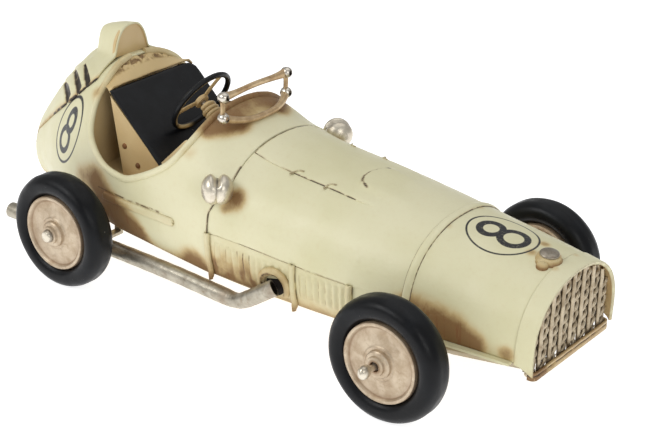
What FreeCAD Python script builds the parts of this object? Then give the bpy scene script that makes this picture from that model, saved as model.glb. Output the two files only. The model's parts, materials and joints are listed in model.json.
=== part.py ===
import FreeCAD, Part
import math
import os

# Friction-drive tin racing car, assembled from separate pressed and turned pieces.
# Millimetres. +X is forward, +Y is the car's left, +Z is up, and Z = 0 is the ground.
# The origin is under the middle of the car.

Vector = FreeCAD.Vector

# ---------------------------------------------------------------- driving dimensions
NOSE_X = 155.0
TAIL_X = -155.0
FRONT_AXLE_X = 105.3
REAR_AXLE_X = -75.9
WHEEL_RADIUS = 27.0
TYRE_WIDTH = 14.0
WHEEL_Y = 59.45
DISC_RADIUS = 17.4
AXLE_RADIUS = 2.0
AXLE_END_Y = 78.4

SHEET = 1.2
RING_X = 147.0
STRAP_X = 97.5
SEAM_X = -3.5
JOIN_GAP = 0.1
SURFACE_GAP = 0.12
RIM_RADIUS = 1.5

NOSE_SIDE_EDGE_Z = 28.6
NOSE_PAN_Z = 19.4
PAN_Z = 23.8
PAN_SHEET = 1.0
SIDE_CREASE_Z = 41.5

MOTOR_MODULE = 0.6
LARGE_TEETH = 30
SMALL_TEETH = 12
PRESSURE_ANGLE = 25.0
SHAFT_RADIUS = 1.25
RUNNING_CLEARANCE = 0.05

# Body stations: distance forward, lower edge height, half-width there, height of the widest
# place, half-width there, crown height, and the power of the arch above the widest place.
BODY_STATIONS = [
    (-155.0, 23.5, 1.2, 28.0, 1.8, 31.0, 2.0),
    (-146.0, 20.5, 6.8, 32.0, 9.8, 46.0, 2.0),
    (-131.0, 23.0, 14.9, 36.5, 19.2, 64.0, 2.2),
    (-110.0, 24.8, 25.7, 39.0, 29.9, 82.0, 2.3),
    (-85.0, 24.8, 33.8, 40.5, 38.4, 93.5, 2.4),
    (-53.0, 23.5, 38.4, 40.5, 42.8, 93.0, 2.3),
    (-18.0, 21.0, 39.2, 40.5, 43.4, 86.0, 2.25),
    (-3.0, 20.2, 39.6, 40.5, 43.4, 79.8, 2.2),
    (15.0, 20.0, 39.6, 40.0, 43.2, 75.2, 2.2),
    (55.0, 20.5, 38.6, 38.0, 41.5, 71.8, 2.2),
    (98.0, 21.5, 36.4, 36.0, 37.8, 67.0, 2.2),
    (136.0, 22.5, 32.6, 34.0, 33.6, 62.6, 2.2),
    (155.0, 23.5, 31.5, 33.0, 32.0, 59.5, 2.2),
]


# ---------------------------------------------------------------- general helpers
def save(name, *shapes):
    """Write one node as a STEP file, as one solid or as a group of separate solids."""
    solids = [solid for shape in shapes for solid in shape.Solids]
    result = solids[0] if len(solids) == 1 else Part.makeCompound(solids)
    result.exportStep("parts/" + name + ".step")
    return result


def box(x_range, y_range, z_range):
    """A block between the given limits."""
    size = [limits[1] - limits[0] for limits in (x_range, y_range, z_range)]
    return Part.makeBox(size[0], size[1], size[2], Vector(x_range[0], y_range[0], z_range[0]))


def rod(start, end, radius):
    """A round bar between two points."""
    line = end - start
    return Part.makeCylinder(radius, line.Length, start, line)


def cross_rod(x, z, radius, y_start, y_end):
    """A round bar that lies across the car."""
    return rod(Vector(x, y_start, z), Vector(x, y_end, z), radius)


def mirrored(shape):
    """The same piece on the other side of the car."""
    return shape.mirror(Vector(0, 0, 0), Vector(0, 1, 0))


def polygon(points):
    """A flat face with straight edges."""
    return Part.Face(Part.makePolygon(points + [points[0]]))


def smooth_curve(points):
    """A smooth curve through the points, as one edge."""
    curve = Part.BSplineCurve()
    curve.interpolate(points)
    return curve.toShape()


def turned(profile, centre, axis=Vector(0, 1, 0)):
    """Turn a closed outline of (radius, distance) pairs about an axis through the centre."""
    rotation = FreeCAD.Rotation(Vector(0, 1, 0), axis)
    points = [centre + rotation.multVec(Vector(radius, along, 0)) for radius, along in profile]
    return polygon(points).revolve(centre, axis, 360)


def pipe(path_points, radius):
    """A round bar that follows a smooth path."""
    path = Part.Wire([smooth_curve(path_points)])
    edge = path.Edges[0]
    direction = edge.tangentAt(edge.FirstParameter)
    circle = Part.Wire([Part.makeCircle(radius, path_points[0], direction)])
    return path.makePipeShell([circle], True, True)


# ---------------------------------------------------------------- body surface
def monotone_slopes(places, values):
    """Slopes of a smooth curve through the values that never overshoots them."""
    steps = [b - a for a, b in zip(places, places[1:])]
    rises = [(b - a) / step for a, b, step in zip(values, values[1:], steps)]
    slopes = [rises[0]]
    for i in range(1, len(rises)):
        before, after = rises[i - 1], rises[i]
        if before * after <= 0:
            slopes.append(0.0)
        else:
            near = 2 * steps[i] + steps[i - 1]
            far = steps[i] + 2 * steps[i - 1]
            slopes.append((near + far) / (near / before + far / after))
    slopes.append(rises[-1])
    return slopes


STATION_PLACES = [station[0] for station in BODY_STATIONS]
STATION_COLUMNS = [[station[i] for station in BODY_STATIONS] for i in range(1, 7)]
STATION_SLOPES = [monotone_slopes(STATION_PLACES, column) for column in STATION_COLUMNS]


def body_station(x):
    """Lower edge, half-width there, widest height, half-width, crown and arch power at x."""
    i = max(k for k in range(len(STATION_PLACES) - 1) if STATION_PLACES[k] <= max(x, TAIL_X))
    step = STATION_PLACES[i + 1] - STATION_PLACES[i]
    t = (x - STATION_PLACES[i]) / step
    weights = (1 + 2 * t) * (1 - t) ** 2, t * (1 - t) ** 2, t * t * (3 - 2 * t), t * t * (t - 1)
    values = []
    for column, slopes in zip(STATION_COLUMNS, STATION_SLOPES):
        terms = column[i], step * slopes[i], column[i + 1], step * slopes[i + 1]
        values.append(sum(weight * term for weight, term in zip(weights, terms)))
    return values


def half_width_at(x, z, inset=0.0):
    """Half-width of the body at a height, measured to a surface inset from the outside."""
    low, low_half, wide, half, crown, power = body_station(x)
    half, low_half, crown = half - inset, low_half - inset, crown - inset
    if z < wide:
        return half - (half - low_half) * ((wide - z) / (wide - low)) ** 2
    rise = min(1.0, (z - wide) / (crown - wide))
    return half * (1 - rise ** power) ** (1 / power)


def crown_at(x, y, inset=0.0):
    """Height of the body top at a place."""
    low, low_half, wide, half, crown, power = body_station(x)
    half, crown = half - inset, crown - inset
    return wide + (crown - wide) * (1 - min(1.0, abs(y) / half) ** power) ** (1 / power)


def arch_points(x, inset=0.0, low=None):
    """Points from the right lower edge over the crown to the left lower edge."""
    lower, low_half, wide, half, crown, power = body_station(x)
    lower = lower if low is None else low
    side = []
    for i in range(3):
        z = lower + (wide - lower) * i / 3
        side.append((half_width_at(x, z, inset), z))
    steps = 7
    for i in range(steps):
        angle = math.pi / 2 * i / steps
        y = (half - inset) * math.cos(angle) ** (2 / power)
        z = wide + (crown - inset - wide) * math.sin(angle) ** (2 / power)
        side.append((y, z))
    right = [Vector(x, -y, z) for y, z in side]
    left = [Vector(x, y, z) for y, z in reversed(side)]
    return right + [Vector(x, 0, crown - inset)] + left


def arch_section(x, outer_inset, inner_inset, low=None):
    """Closed outline of a bent sheet at x."""
    outer = arch_points(x, outer_inset, low)
    inner = arch_points(x, inner_inset, low)
    edges = [
        smooth_curve(outer),
        Part.makeLine(outer[-1], inner[-1]),
        smooth_curve(inner[::-1]),
        Part.makeLine(inner[0], outer[0]),
    ]
    return Part.Wire(edges)


def sections_between(start, end, spacing=14.0):
    """Evenly spaced places from start to end."""
    count = max(2, int(math.ceil(abs(end - start) / spacing)) + 1)
    return [start + (end - start) * i / (count - 1) for i in range(count)]


def body_sheet(start, end, outer_inset=0.0, thickness=SHEET, low=None):
    """A bent sheet that follows the body from one place to another."""
    inner_inset = outer_inset + thickness
    wires = [arch_section(x, outer_inset, inner_inset, low) for x in sections_between(start, end)]
    return Part.makeLoft(wires, True, False)


def filled_section(x, inset, low):
    """Closed outline of the whole body section down to a flat lower edge."""
    points = arch_points(x, inset, low)
    return Part.Wire([smooth_curve(points), Part.makeLine(points[-1], points[0])])


def axle_slot(x, half_width, top):
    """The space that an axle needs through both body sides."""
    slot = box((x - half_width, x + half_width), (-50, 50), (0, top - half_width))
    return slot.fuse(cross_rod(x, top - half_width, half_width, -50, 50))


# ---------------------------------------------------------------- nose
def make_nose_cowl():
    sheet = body_sheet(STRAP_X + JOIN_GAP, RING_X - JOIN_GAP)
    below_edge = box((STRAP_X - 1, RING_X + 1), (-50, 50), (0, NOSE_SIDE_EDGE_Z))
    return save("nose_cowl", sheet.cut(below_edge).cut(axle_slot(FRONT_AXLE_X, 3.0, 31.5)))


def make_nose_ring():
    proud = -0.5
    wires = [arch_section(x, proud, SHEET) for x in (RING_X, RING_X + 4, NOSE_X)]
    return save("nose_ring", Part.makeLoft(wires, True, False))


def nose_pan_section(x, drop, side_top, inset):
    """Upward-open tray section under the nose."""
    top_half = half_width_at(x, NOSE_SIDE_EDGE_Z) - SHEET - 0.2 - inset
    floor_half = top_half - 5.0
    return [
        Vector(x, -top_half, side_top),
        Vector(x, -top_half + 1.0, drop + 4.0),
        Vector(x, -floor_half, drop),
        Vector(x, floor_half, drop),
        Vector(x, top_half - 1.0, drop + 4.0),
        Vector(x, top_half, side_top),
    ]


def make_nose_pan():
    """The darker pan under the nose, inside the side flanges."""
    wires = []
    for x, drop in ((STRAP_X + 0.3, NOSE_PAN_Z), (116.0, NOSE_PAN_Z), (RING_X - 0.3, 22.8)):
        outer = nose_pan_section(x, drop, NOSE_SIDE_EDGE_Z + 2, 0.0)
        inner = nose_pan_section(x, drop + SHEET, NOSE_SIDE_EDGE_Z + 2, SHEET)
        wires.append(Part.makePolygon(outer + inner[::-1] + [outer[0]]))
    tray = Part.makeLoft(wires, True, True)
    return save("nose_pan", tray.cut(cross_rod(FRONT_AXLE_X, WHEEL_RADIUS, AXLE_RADIUS, -50, 50)))


def make_nose_flanges():
    """Flat lips that stand out along the lower edges of the nose."""
    width, thickness = 2.6, 1.0
    front, rear = RING_X - 1.5, FRONT_AXLE_X + 4.5
    top = NOSE_SIDE_EDGE_Z - 0.05
    points = []
    for x in (rear, (rear + front) / 2, front):
        points.append(Vector(x, -half_width_at(x, top) + 0.9, top))
    outer = [Vector(p.x, p.y - width - 0.9, top) for p in reversed(points)]
    flange = polygon(points + outer).extrude(Vector(0, 0, -thickness))
    return save("nose_flanges", flange, mirrored(flange))


def make_nose_lip():
    """The channel that closes the bottom of the grille opening."""
    half, top, bottom = 30.2, 24.2, 21.2
    rear = RING_X + 0.5
    outline = box((rear, NOSE_X), (-half, half), (bottom, top))
    upright = [edge for edge in outline.Edges if abs(edge.tangentAt(0).z) > 0.9]
    front_corners = [edge for edge in upright if edge.CenterOfMass.x > NOSE_X - 1]
    outline = outline.makeFillet(3.0, front_corners)
    hollow = box((rear - 1, NOSE_X - 1.4), (-half + 1.4, half - 1.4), (bottom + 1.2, top + 1))
    return save("nose_lip", outline.cut(hollow).cut(ring_space()))


def ring_space():
    """Room for the legs of the nose ring beside the lip."""
    legs = body_sheet(RING_X - 1, NOSE_X, -0.6, SHEET + 0.7)
    return legs


def grille_outline(x, inset):
    """The arched opening of the nose ring at x, closed by a flat bottom."""
    return Part.Face(filled_section(x, SHEET + inset, 24.3))


def make_grille():
    mesh_x, mesh_thickness, bar_count, bar_spacing = 151.0, 0.8, 7, 7.8
    plate = grille_outline(mesh_x, 0.15).extrude(Vector(mesh_thickness, 0, 0))
    save("grille_mesh", plate)
    bars = []
    middle = (bar_count - 1) / 2
    for i in range(bar_count):
        y = (i - middle) * bar_spacing
        top = crown_at(mesh_x, y, SHEET + 1.0)
        bar_x = mesh_x + mesh_thickness
        bar = rod(Vector(bar_x, y, 24.5), Vector(bar_x, y, top), 1.3)
        front = box((mesh_x + mesh_thickness, NOSE_X), (y - 2, y + 2), (20, 70))
        bars.append(bar.common(front))
    return save("grille_bars", *bars)


def make_filler():
    x, y = 142.2, -4.0
    tilt = Vector(0.10, -0.06, 1).normalize()
    base = Vector(x, y, crown_at(x, y) - 0.6)
    collar = rod(base, base + tilt * 2.6, 4.5)
    lobe_x, lobe_y = x + 0.9, y - 5.4
    lobe_base = Vector(lobe_x, lobe_y, crown_at(lobe_x, lobe_y) - 0.8)
    collar = collar.fuse(rod(lobe_base, lobe_base + tilt * 2.6, 2.2))
    collar = collar.cut(body_core(125, 150, -SURFACE_GAP, 20.0))
    save("filler_collar", collar)
    top = base + tilt * 2.65
    cap = turned([(0, 0), (4.2, 0), (4.2, 1.0), (3.6, 1.6), (0, 1.8)], top, tilt)
    return save("filler_cap", cap)


# ---------------------------------------------------------------- bonnet
def make_bonnet_shell():
    sheet = body_sheet(SEAM_X + JOIN_GAP, STRAP_X - JOIN_GAP)
    return save("bonnet_shell", sheet)


def surface_path(x, half_span_angle, offset, steps=14):
    """Points over the body at x, from one side to the other, lifted by an offset."""
    low, low_half, wide, half, crown, power = body_station(x)
    points = []
    for i in range(steps + 1):
        angle = -half_span_angle + 2 * half_span_angle * i / steps
        y = (half + offset) * math.copysign(abs(math.sin(angle)) ** (2 / power), angle)
        z = wide + (crown + offset - wide) * abs(math.cos(angle)) ** (2 / power)
        points.append(Vector(x, y, z))
    return points


def make_bonnet_strap():
    """A wire band over the joint of the bonnet and the nose."""
    radius = 1.1
    points = surface_path(STRAP_X, math.pi / 2, radius + 0.05)
    low = [Vector(STRAP_X, side * (half_width_at(STRAP_X, 30) + radius + 0.05), 30)
           for side in (-1, 1)]
    path = [low[0]] + points + [low[1]]
    return save("bonnet_strap", pipe(path, radius))


def raised_panel(start, end, half_width_rear, half_width_front, thickness):
    """A plate that lies on top of the body between two places."""
    wires = []
    for x in sections_between(start, end, 12.0):
        share = (x - start) / (end - start)
        half = half_width_rear + (half_width_front - half_width_rear) * share
        rows = [half * (i / 4 - 1) for i in range(9)]
        lower = [Vector(x, y, crown_at(x, y) + SURFACE_GAP) for y in rows]
        upper = [Vector(x, y, crown_at(x, y) + thickness) for y in reversed(rows)]
        edges = [
            smooth_curve(lower),
            Part.makeLine(lower[-1], upper[0]),
            smooth_curve(upper),
            Part.makeLine(upper[-1], lower[0]),
        ]
        wires.append(Part.Wire(edges))
    return Part.makeLoft(wires, True, False)


def make_bonnet_hatch():
    return save("bonnet_hatch", raised_panel(3.7, 74.0, 20.0, 20.5, 0.8))


def make_hatch_latches():
    latches = []
    for x in (26.3, 43.7):
        y = -21.6
        z = crown_at(x, y)
        slope = math.degrees(math.atan2(crown_at(x, y + 1) - z, 1))
        latch = box((x - 2.2, x + 2.2), (y - 0.9, y + 0.9), (z + 0.25, z + 1.3))
        latch.rotate(Vector(x, y, z), Vector(1, 0, 0), slope)
        latches += [latch, mirrored(latch)]
    return save("hatch_latches", *latches)


# ---------------------------------------------------------------- side panels
def side_strip(start, end, low, high, lift, thickness, columns=6):
    """A plate on the right side of the body, between two heights."""
    wires = []
    for x in sections_between(start, end, (end - start) / columns):
        low_here = max(low, body_station(x)[0])
        heights = [low_here + (high - low_here) * i / 4 for i in range(5)]
        inner = [Vector(x, -half_width_at(x, z) - lift, z) for z in heights]
        outer = [Vector(x, -half_width_at(x, z) - lift - thickness, z) for z in reversed(heights)]
        edges = [
            smooth_curve(inner),
            Part.makeLine(inner[-1], outer[0]),
            smooth_curve(outer),
            Part.makeLine(outer[-1], inner[0]),
        ]
        wires.append(Part.Wire(edges))
    return Part.makeLoft(wires, True, False)


PANEL_FRONT, PANEL_REAR = 69.0, -20.0
PORT = Vector(33.0, 0, 28.3)
COLLAR_RADIUS = 7.0
RIB_PLACES = (-3.5, 42.8, 71.2)
LIFT = 0.02


def make_louvre_panels():
    """Pressed side panels with upright louvres, one on each side."""
    save("louvre_panel_right", louvre_panel(True))
    return save("louvre_panel_left", mirrored(louvre_panel(False)))


def louvre_panel(has_port):
    """One panel on the right side, with or without the exhaust port."""
    thickness, louvre_proud, louvre_half, louvre_pitch = 0.6, 0.9, 0.8, 4.1
    plate = side_strip(PANEL_REAR, PANEL_FRONT, 20.0, SIDE_CREASE_Z - 0.5, LIFT, thickness)
    rib_half = 1.7
    panel = plate
    for rib_x in RIB_PLACES:
        panel = panel.cut(box((rib_x - rib_half, rib_x + rib_half), (-60, 0), (0, 60)))
    if has_port:
        panel = panel.cut(cross_rod(PORT.x, PORT.z, COLLAR_RADIUS + 0.1, -60, 0))
    louvres = []
    x = PANEL_REAR + 3.0
    while x < PANEL_FRONT - 1.0:
        near_rib = min(abs(x - rib_x) for rib_x in RIB_PLACES) < rib_half + 1.6
        near_port = has_port and abs(x - PORT.x) < COLLAR_RADIUS + 1.6
        if not near_rib and not near_port:
            sunk = LIFT + thickness - 0.2
            louvres.append(side_strip(x - louvre_half, x + louvre_half, 27.5, 39.5, sunk, louvre_proud, 1))
        x += louvre_pitch
    return panel.fuse(louvres)


def make_side_ribs():
    """Upright ribs that hang a little below the body side."""
    half_width, thickness, hang = 1.4, 1.4, 1.4
    ribs = []
    for x in RIB_PLACES:
        low, low_half = body_station(x)[:2]
        rib = side_strip(x - half_width, x + half_width, low, SIDE_CREASE_Z, SURFACE_GAP, thickness, 2)
        face_y = -low_half - SURFACE_GAP
        end = box((x - half_width, x + half_width), (face_y - thickness, face_y), (low - hang, low + 0.3))
        rib = rib.fuse(end)
        ribs += [rib, mirrored(rib)]
    return save("side_ribs", *ribs)


def make_side_spears():
    """Raised blades low on the rear body sides, with rounded front ends."""
    rear, front, half_height = -66.0, -25.0, 2.2
    blade = side_strip(rear, front, 38.6, 43.0, 2 * SURFACE_GAP, 1.6)
    centre = Vector(front, -60, 40.8)
    round_end = Part.makeCylinder(half_height, 40, centre, Vector(0, 1, 0))
    tail = box((rear, front), (-60, -20), (38.6, 43.0))
    tip = side_strip(front - 1, front + half_height + 1, 38.4, 43.2, 2 * SURFACE_GAP, 1.6, 3)
    tip = tip.common(round_end)
    blade = blade.common(tail).fuse(tip)
    return save("side_spears", blade, mirrored(blade))


# ---------------------------------------------------------------- rear body
# Side view of the cockpit opening, from the cowl edge down and back up to the deck.
OPENING_SIDE = [
    (-20.5, 88.0), (-22.9, 76.0), (-31.0, 64.2), (-49.3, 54.0), (-59.5, 52.9),
    (-70.5, 55.8), (-79.3, 64.2), (-82.0, 76.0), (-82.3, 87.0), (-85.0, 94.0),
]


def opening_tool():
    """A block with the cockpit opening's side view, wide enough to cut both sides."""
    lower = smooth_curve([Vector(x, -60, z) for x, z in OPENING_SIDE])
    top = 130.0
    front, rear = OPENING_SIDE[0], OPENING_SIDE[-1]
    corners = [
        Vector(rear[0], -60, rear[1]),
        Vector(rear[0], -60, top),
        Vector(front[0], -60, top),
        Vector(front[0], -60, front[1]),
    ]
    edges = [lower] + [Part.makeLine(a, b) for a, b in zip(corners, corners[1:])]
    return Part.Face(Part.Wire(edges)).extrude(Vector(0, 120, 0))


def rim_path(side):
    """Points along the edge of the opening on one side, from the cowl to the deck."""
    points = []
    curve = smooth_curve([Vector(x, 0, z) for x, z in OPENING_SIDE]).Curve
    first, last = curve.FirstParameter, curve.LastParameter
    steps = 22
    for i in range(steps + 1):
        place = curve.value(first + (last - first) * i / steps)
        height = min(place.z, crown_at(place.x, 0) - 1.2)
        y = half_width_at(place.x, height, SHEET / 2)
        if y > 8.0:
            points.append(Vector(place.x, side * y, height))
    return points


def make_rear_body():
    """Cockpit and tail shell in one piece, with a rolled rim around the opening."""
    places = sections_between(SEAM_X - JOIN_GAP, TAIL_X, 12.0)
    outer = Part.makeLoft([filled_section(x, 0.0, body_station(x)[0]) for x in places], True)
    inner_places = sections_between(SEAM_X + 1, TAIL_X + 20, 12.0)
    inner = Part.makeLoft([filled_section(x, SHEET, 10.0) for x in inner_places], True)
    shell = outer.cut(inner).cut(opening_tool())
    shell = shell.cut(axle_slot(REAR_AXLE_X, 3.5, 32.0))
    rim = pipe(rim_path(-1), RIM_RADIUS)
    shell = shell.fuse([rim, mirrored(rim)])
    return save("rear_body_shell", shell.removeSplitter())


# ---------------------------------------------------------------- wheels
def tyre_outline():
    """Cross-section of a tyre as (radius, distance from its middle) pairs."""
    centre, half_height, half_width, power, steps = 21.9, 5.1, TYRE_WIDTH / 2, 2.3, 40
    outline = []
    for i in range(steps):
        angle = 2 * math.pi * i / steps
        across, along = math.cos(angle), math.sin(angle)
        radius = centre + half_height * math.copysign(abs(across) ** (2 / power), across)
        place = half_width * math.copysign(abs(along) ** (2 / power), along)
        outline.append((max(radius, DISC_RADIUS + 0.02), place))
    return outline


def wheel_pieces(x, side, bore):
    """Tyre, two pressed discs and a hub. Distances run outward from the tyre's middle."""
    centre = Vector(x, side * WHEEL_Y, WHEEL_RADIUS)
    axis = Vector(0, side, 0)
    tyre = turned(tyre_outline(), centre, axis)
    hub_radius = 4.0
    outer_disc = turned([
        (hub_radius + 0.02, 5.0), (9.0, 5.0), (9.6, 4.6), (15.4, 4.6), (15.8, 5.4), (16.2, 5.5),
        (16.2, 0.1), (DISC_RADIUS, 0.1), (DISC_RADIUS, 5.6), (16.6, 6.3), (15.8, 6.2), (15.0, 5.4),
        (9.8, 5.4),
        (9.2, 5.8), (hub_radius + 0.02, 5.8),
    ], centre, axis)
    inner_disc = turned([
        (hub_radius + 0.02, -5.0), (16.2, -5.0), (16.2, -0.1), (DISC_RADIUS, -0.1),
        (DISC_RADIUS, -5.4), (16.8, -6.0), (15.8, -5.8), (hub_radius + 0.02, -5.8),
    ], centre, axis)
    hub = turned([
        (bore, -8.0), (hub_radius + 1.6, -8.0), (hub_radius + 1.6, -5.82), (hub_radius, -5.82),
        (hub_radius, 5.82), (6.4, 5.82), (6.4, 7.4), (5.6, 8.0), (4.4, 8.1), (3.9, 9.2), (bore, 9.2),
    ], centre, axis)
    return tyre, [outer_disc, inner_disc], hub


def make_wheels():
    places = (("front", FRONT_AXLE_X), ("rear", REAR_AXLE_X))
    for end, x in places:
        bore = AXLE_RADIUS + (RUNNING_CLEARANCE if end == "front" else 0.0)
        for name, side in (("right", -1), ("left", 1)):
            tyre, discs, hub = wheel_pieces(x, side, bore)
            prefix = end + "_" + name
            save(prefix + "_tyre", tyre)
            save(prefix + "_wheel_discs", *discs)
            save(prefix + "_hub", hub)


def make_front_axle():
    """Fixed axle with pinched ends that keep the wheels on."""
    bar_half = AXLE_END_Y - 2.6
    bar = cross_rod(FRONT_AXLE_X, WHEEL_RADIUS, AXLE_RADIUS, -bar_half, bar_half)
    for side in (-1, 1):
        tip = Part.makeSphere(2.6, Vector(0, 0, 0))
        stretch = FreeCAD.Matrix()
        stretch.scale(0.9, 1.0, 1.15)
        tip = tip.transformGeometry(stretch)
        tip.translate(Vector(FRONT_AXLE_X, side * (AXLE_END_Y - 2.6), WHEEL_RADIUS + 0.5))
        bar = bar.fuse(tip)
    return save("front_axle", bar)


def make_front_brackets():
    """Two upright brackets on the nose pan that hold the front axle."""
    pan_top = NOSE_PAN_Z + SHEET
    brackets = []
    for y in (-22.0, 22.0):
        upright = box((FRONT_AXLE_X - 5, FRONT_AXLE_X + 5), (y - 0.8, y + 0.8), (pan_top, 34))
        upright = upright.cut(cross_rod(FRONT_AXLE_X, WHEEL_RADIUS, AXLE_RADIUS, y - 2, y + 2))
        brackets.append(upright)
    return save("front_axle_brackets", *brackets)


def make_rear_axle():
    """Live axle with a round rivet head outside each rear wheel."""
    end = WHEEL_Y + 9.2
    head = [(0, -0.5), (1.5, -0.5), (1.5, 0), (3.1, 0), (2.9, 0.9), (2.2, 1.7), (1.1, 2.2), (0, 2.3)]
    bar = cross_rod(REAR_AXLE_X, WHEEL_RADIUS, AXLE_RADIUS, -end, end)
    for side in (-1, 1):
        base = Vector(REAR_AXLE_X, side * (end + 0.02), WHEEL_RADIUS)
        bar = bar.fuse(turned(head, base, Vector(0, side, 0)))
    return save("rear_axle", bar)


# ---------------------------------------------------------------- friction motor
PITCH_LARGE = MOTOR_MODULE * LARGE_TEETH / 2
PITCH_SMALL = MOTOR_MODULE * SMALL_TEETH / 2
SHAFT_SPACING = PITCH_LARGE + PITCH_SMALL
IDLER_DIRECTION = math.radians(15)
FLYWHEEL_DIRECTION = math.radians(10)
AXLE_POINT = Vector(REAR_AXLE_X, 0, WHEEL_RADIUS)
IDLER_POINT = AXLE_POINT + Vector(math.cos(IDLER_DIRECTION), 0, math.sin(IDLER_DIRECTION)) * SHAFT_SPACING
FLYWHEEL_STEP = Vector(math.cos(FLYWHEEL_DIRECTION), 0, math.sin(FLYWHEEL_DIRECTION)) * SHAFT_SPACING
FLYWHEEL_POINT = IDLER_POINT + FLYWHEEL_STEP
PLATE_Y = 12.0
PLATE_THICKNESS = 1.2


def involute(angle):
    """The involute function of a pressure angle."""
    return math.tan(angle) - angle


def spur_gear(teeth, centre, phase, y_start, y_end):
    """A spur gear across the car, with a tooth pointing along the phase angle."""
    pitch = MOTOR_MODULE * teeth / 2
    base = pitch * math.cos(math.radians(PRESSURE_ANGLE))
    tip, root = pitch + 0.85 * MOTOR_MODULE, pitch - 1.2 * MOTOR_MODULE
    backlash = 0.12
    half_tooth = math.pi / (2 * teeth) - backlash / (2 * pitch)
    start = max(base, root)
    flank = []
    for i in range(5):
        radius = start + (tip - start) * i / 4
        angle = half_tooth + involute(math.radians(PRESSURE_ANGLE)) - involute(math.acos(base / radius))
        flank.append((radius, angle))
    if root < base:
        flank.insert(0, (root, flank[0][1]))
    points = []
    for tooth in range(teeth):
        middle = phase + 2 * math.pi * tooth / teeth
        turned_flank = [(r, middle - a) for r, a in flank] + [(r, middle + a) for r, a in reversed(flank)]
        for radius, angle in turned_flank:
            across, up = radius * math.cos(angle), radius * math.sin(angle)
            points.append(Vector(centre.x + across, y_start, centre.z + up))
    return polygon(points).extrude(Vector(0, y_end - y_start, 0))


def shaft(centre, y_start, y_end, radius=SHAFT_RADIUS):
    """A shaft across the car through a motor point."""
    return cross_rod(centre.x, centre.z, radius, y_start, y_end)


def make_motor():
    end_y = PLATE_Y + 1.6
    half_pitch = math.pi / SMALL_TEETH
    axle_gear = spur_gear(LARGE_TEETH, AXLE_POINT, IDLER_DIRECTION, -8.5, -5.5)
    save("axle_gear", axle_gear.cut(shaft(AXLE_POINT, -20, 20, AXLE_RADIUS)))

    idler_pinion = spur_gear(SMALL_TEETH, IDLER_POINT, IDLER_DIRECTION + math.pi + half_pitch, -9.2, -4.8)
    idler_gear = spur_gear(LARGE_TEETH, IDLER_POINT, FLYWHEEL_DIRECTION, 5.0, 8.0)
    idler_shaft = shaft(IDLER_POINT, -end_y, end_y)
    save("idler_cluster_gear", idler_shaft.fuse([idler_pinion, idler_gear]))

    pinion_phase = FLYWHEEL_DIRECTION + math.pi + half_pitch
    pinion = spur_gear(SMALL_TEETH, FLYWHEEL_POINT, pinion_phase, 4.4, 8.6)
    save("flywheel_shaft", shaft(FLYWHEEL_POINT, -end_y, end_y).fuse(pinion))

    flywheel = turned([
        (SHAFT_RADIUS, -3.0), (4.0, -3.0), (5.0, -2.0), (7.0, -2.0), (7.8, -3.5), (10.0, -3.5),
        (10.0, 3.5), (7.8, 3.5), (7.0, 2.0), (5.0, 2.0), (4.0, 3.0), (SHAFT_RADIUS, 3.0),
    ], FLYWHEEL_POINT)
    save("flywheel", flywheel)
    make_motor_frame()


def make_motor_frame():
    """Two side plates with feet on the floor pan, and the pillars between them."""
    bottom = PAN_Z + PAN_SHEET
    pillar_places = ((-80.5, 39.5), (-72.0, 42.0), (-39.5, 27.5))
    outline = [(-85, bottom), (-35.5, bottom), (-35.5, 31), (-46, 44), (-84, 44)]
    plates = []
    for side in (-1, 1):
        y = side * PLATE_Y - PLATE_THICKNESS / 2
        plate = polygon([Vector(x, y, z) for x, z in outline]).extrude(Vector(0, PLATE_THICKNESS, 0))
        foot_y = sorted((side * PLATE_Y, side * (PLATE_Y + 5)))
        for x_range in ((-85, -79), (-70, -60), (-45, -36)):
            plate = plate.fuse(box(x_range, foot_y, (bottom, bottom + 0.9)))
        plate = plate.cut(shaft(AXLE_POINT, -30, 30, AXLE_RADIUS + RUNNING_CLEARANCE))
        for centre in (IDLER_POINT, FLYWHEEL_POINT):
            plate = plate.cut(shaft(centre, -30, 30, SHAFT_RADIUS + RUNNING_CLEARANCE))
        plates.append(plate.removeSplitter())
    save("motor_plates", *plates)
    inner = PLATE_Y - PLATE_THICKNESS / 2
    pillars = [cross_rod(x, z, 1.4, -inner, inner) for x, z in pillar_places]
    return save("motor_pillars", *pillars)


# ---------------------------------------------------------------- floor and cockpit
def make_floor_pan():
    """Flat pan inside the lower edge of the body, open under the motor."""
    places = [96.5, 55.0, 15.0, -18.0, -53.0, -85.0, -110.0, -124.0]
    edge = [Vector(x, -half_width_at(x, PAN_Z + 0.2, SHEET) + 0.5, PAN_Z) for x in places]
    other = [Vector(p.x, -p.y, PAN_Z) for p in reversed(edge)]
    pan = polygon(edge + other).extrude(Vector(0, 0, PAN_SHEET))
    return save("floor_pan", pan.cut(box((-88, -38), (-10.4, 10.4), (0, 50))))


COCKPIT_FLOOR_Z = 45.0


def body_core(start, end, inset, low):
    """Solid that fills the body inside a given inset."""
    wires = [filled_section(x, inset, low) for x in sections_between(start, end, 12.0)]
    return Part.makeLoft(wires, True)


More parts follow.
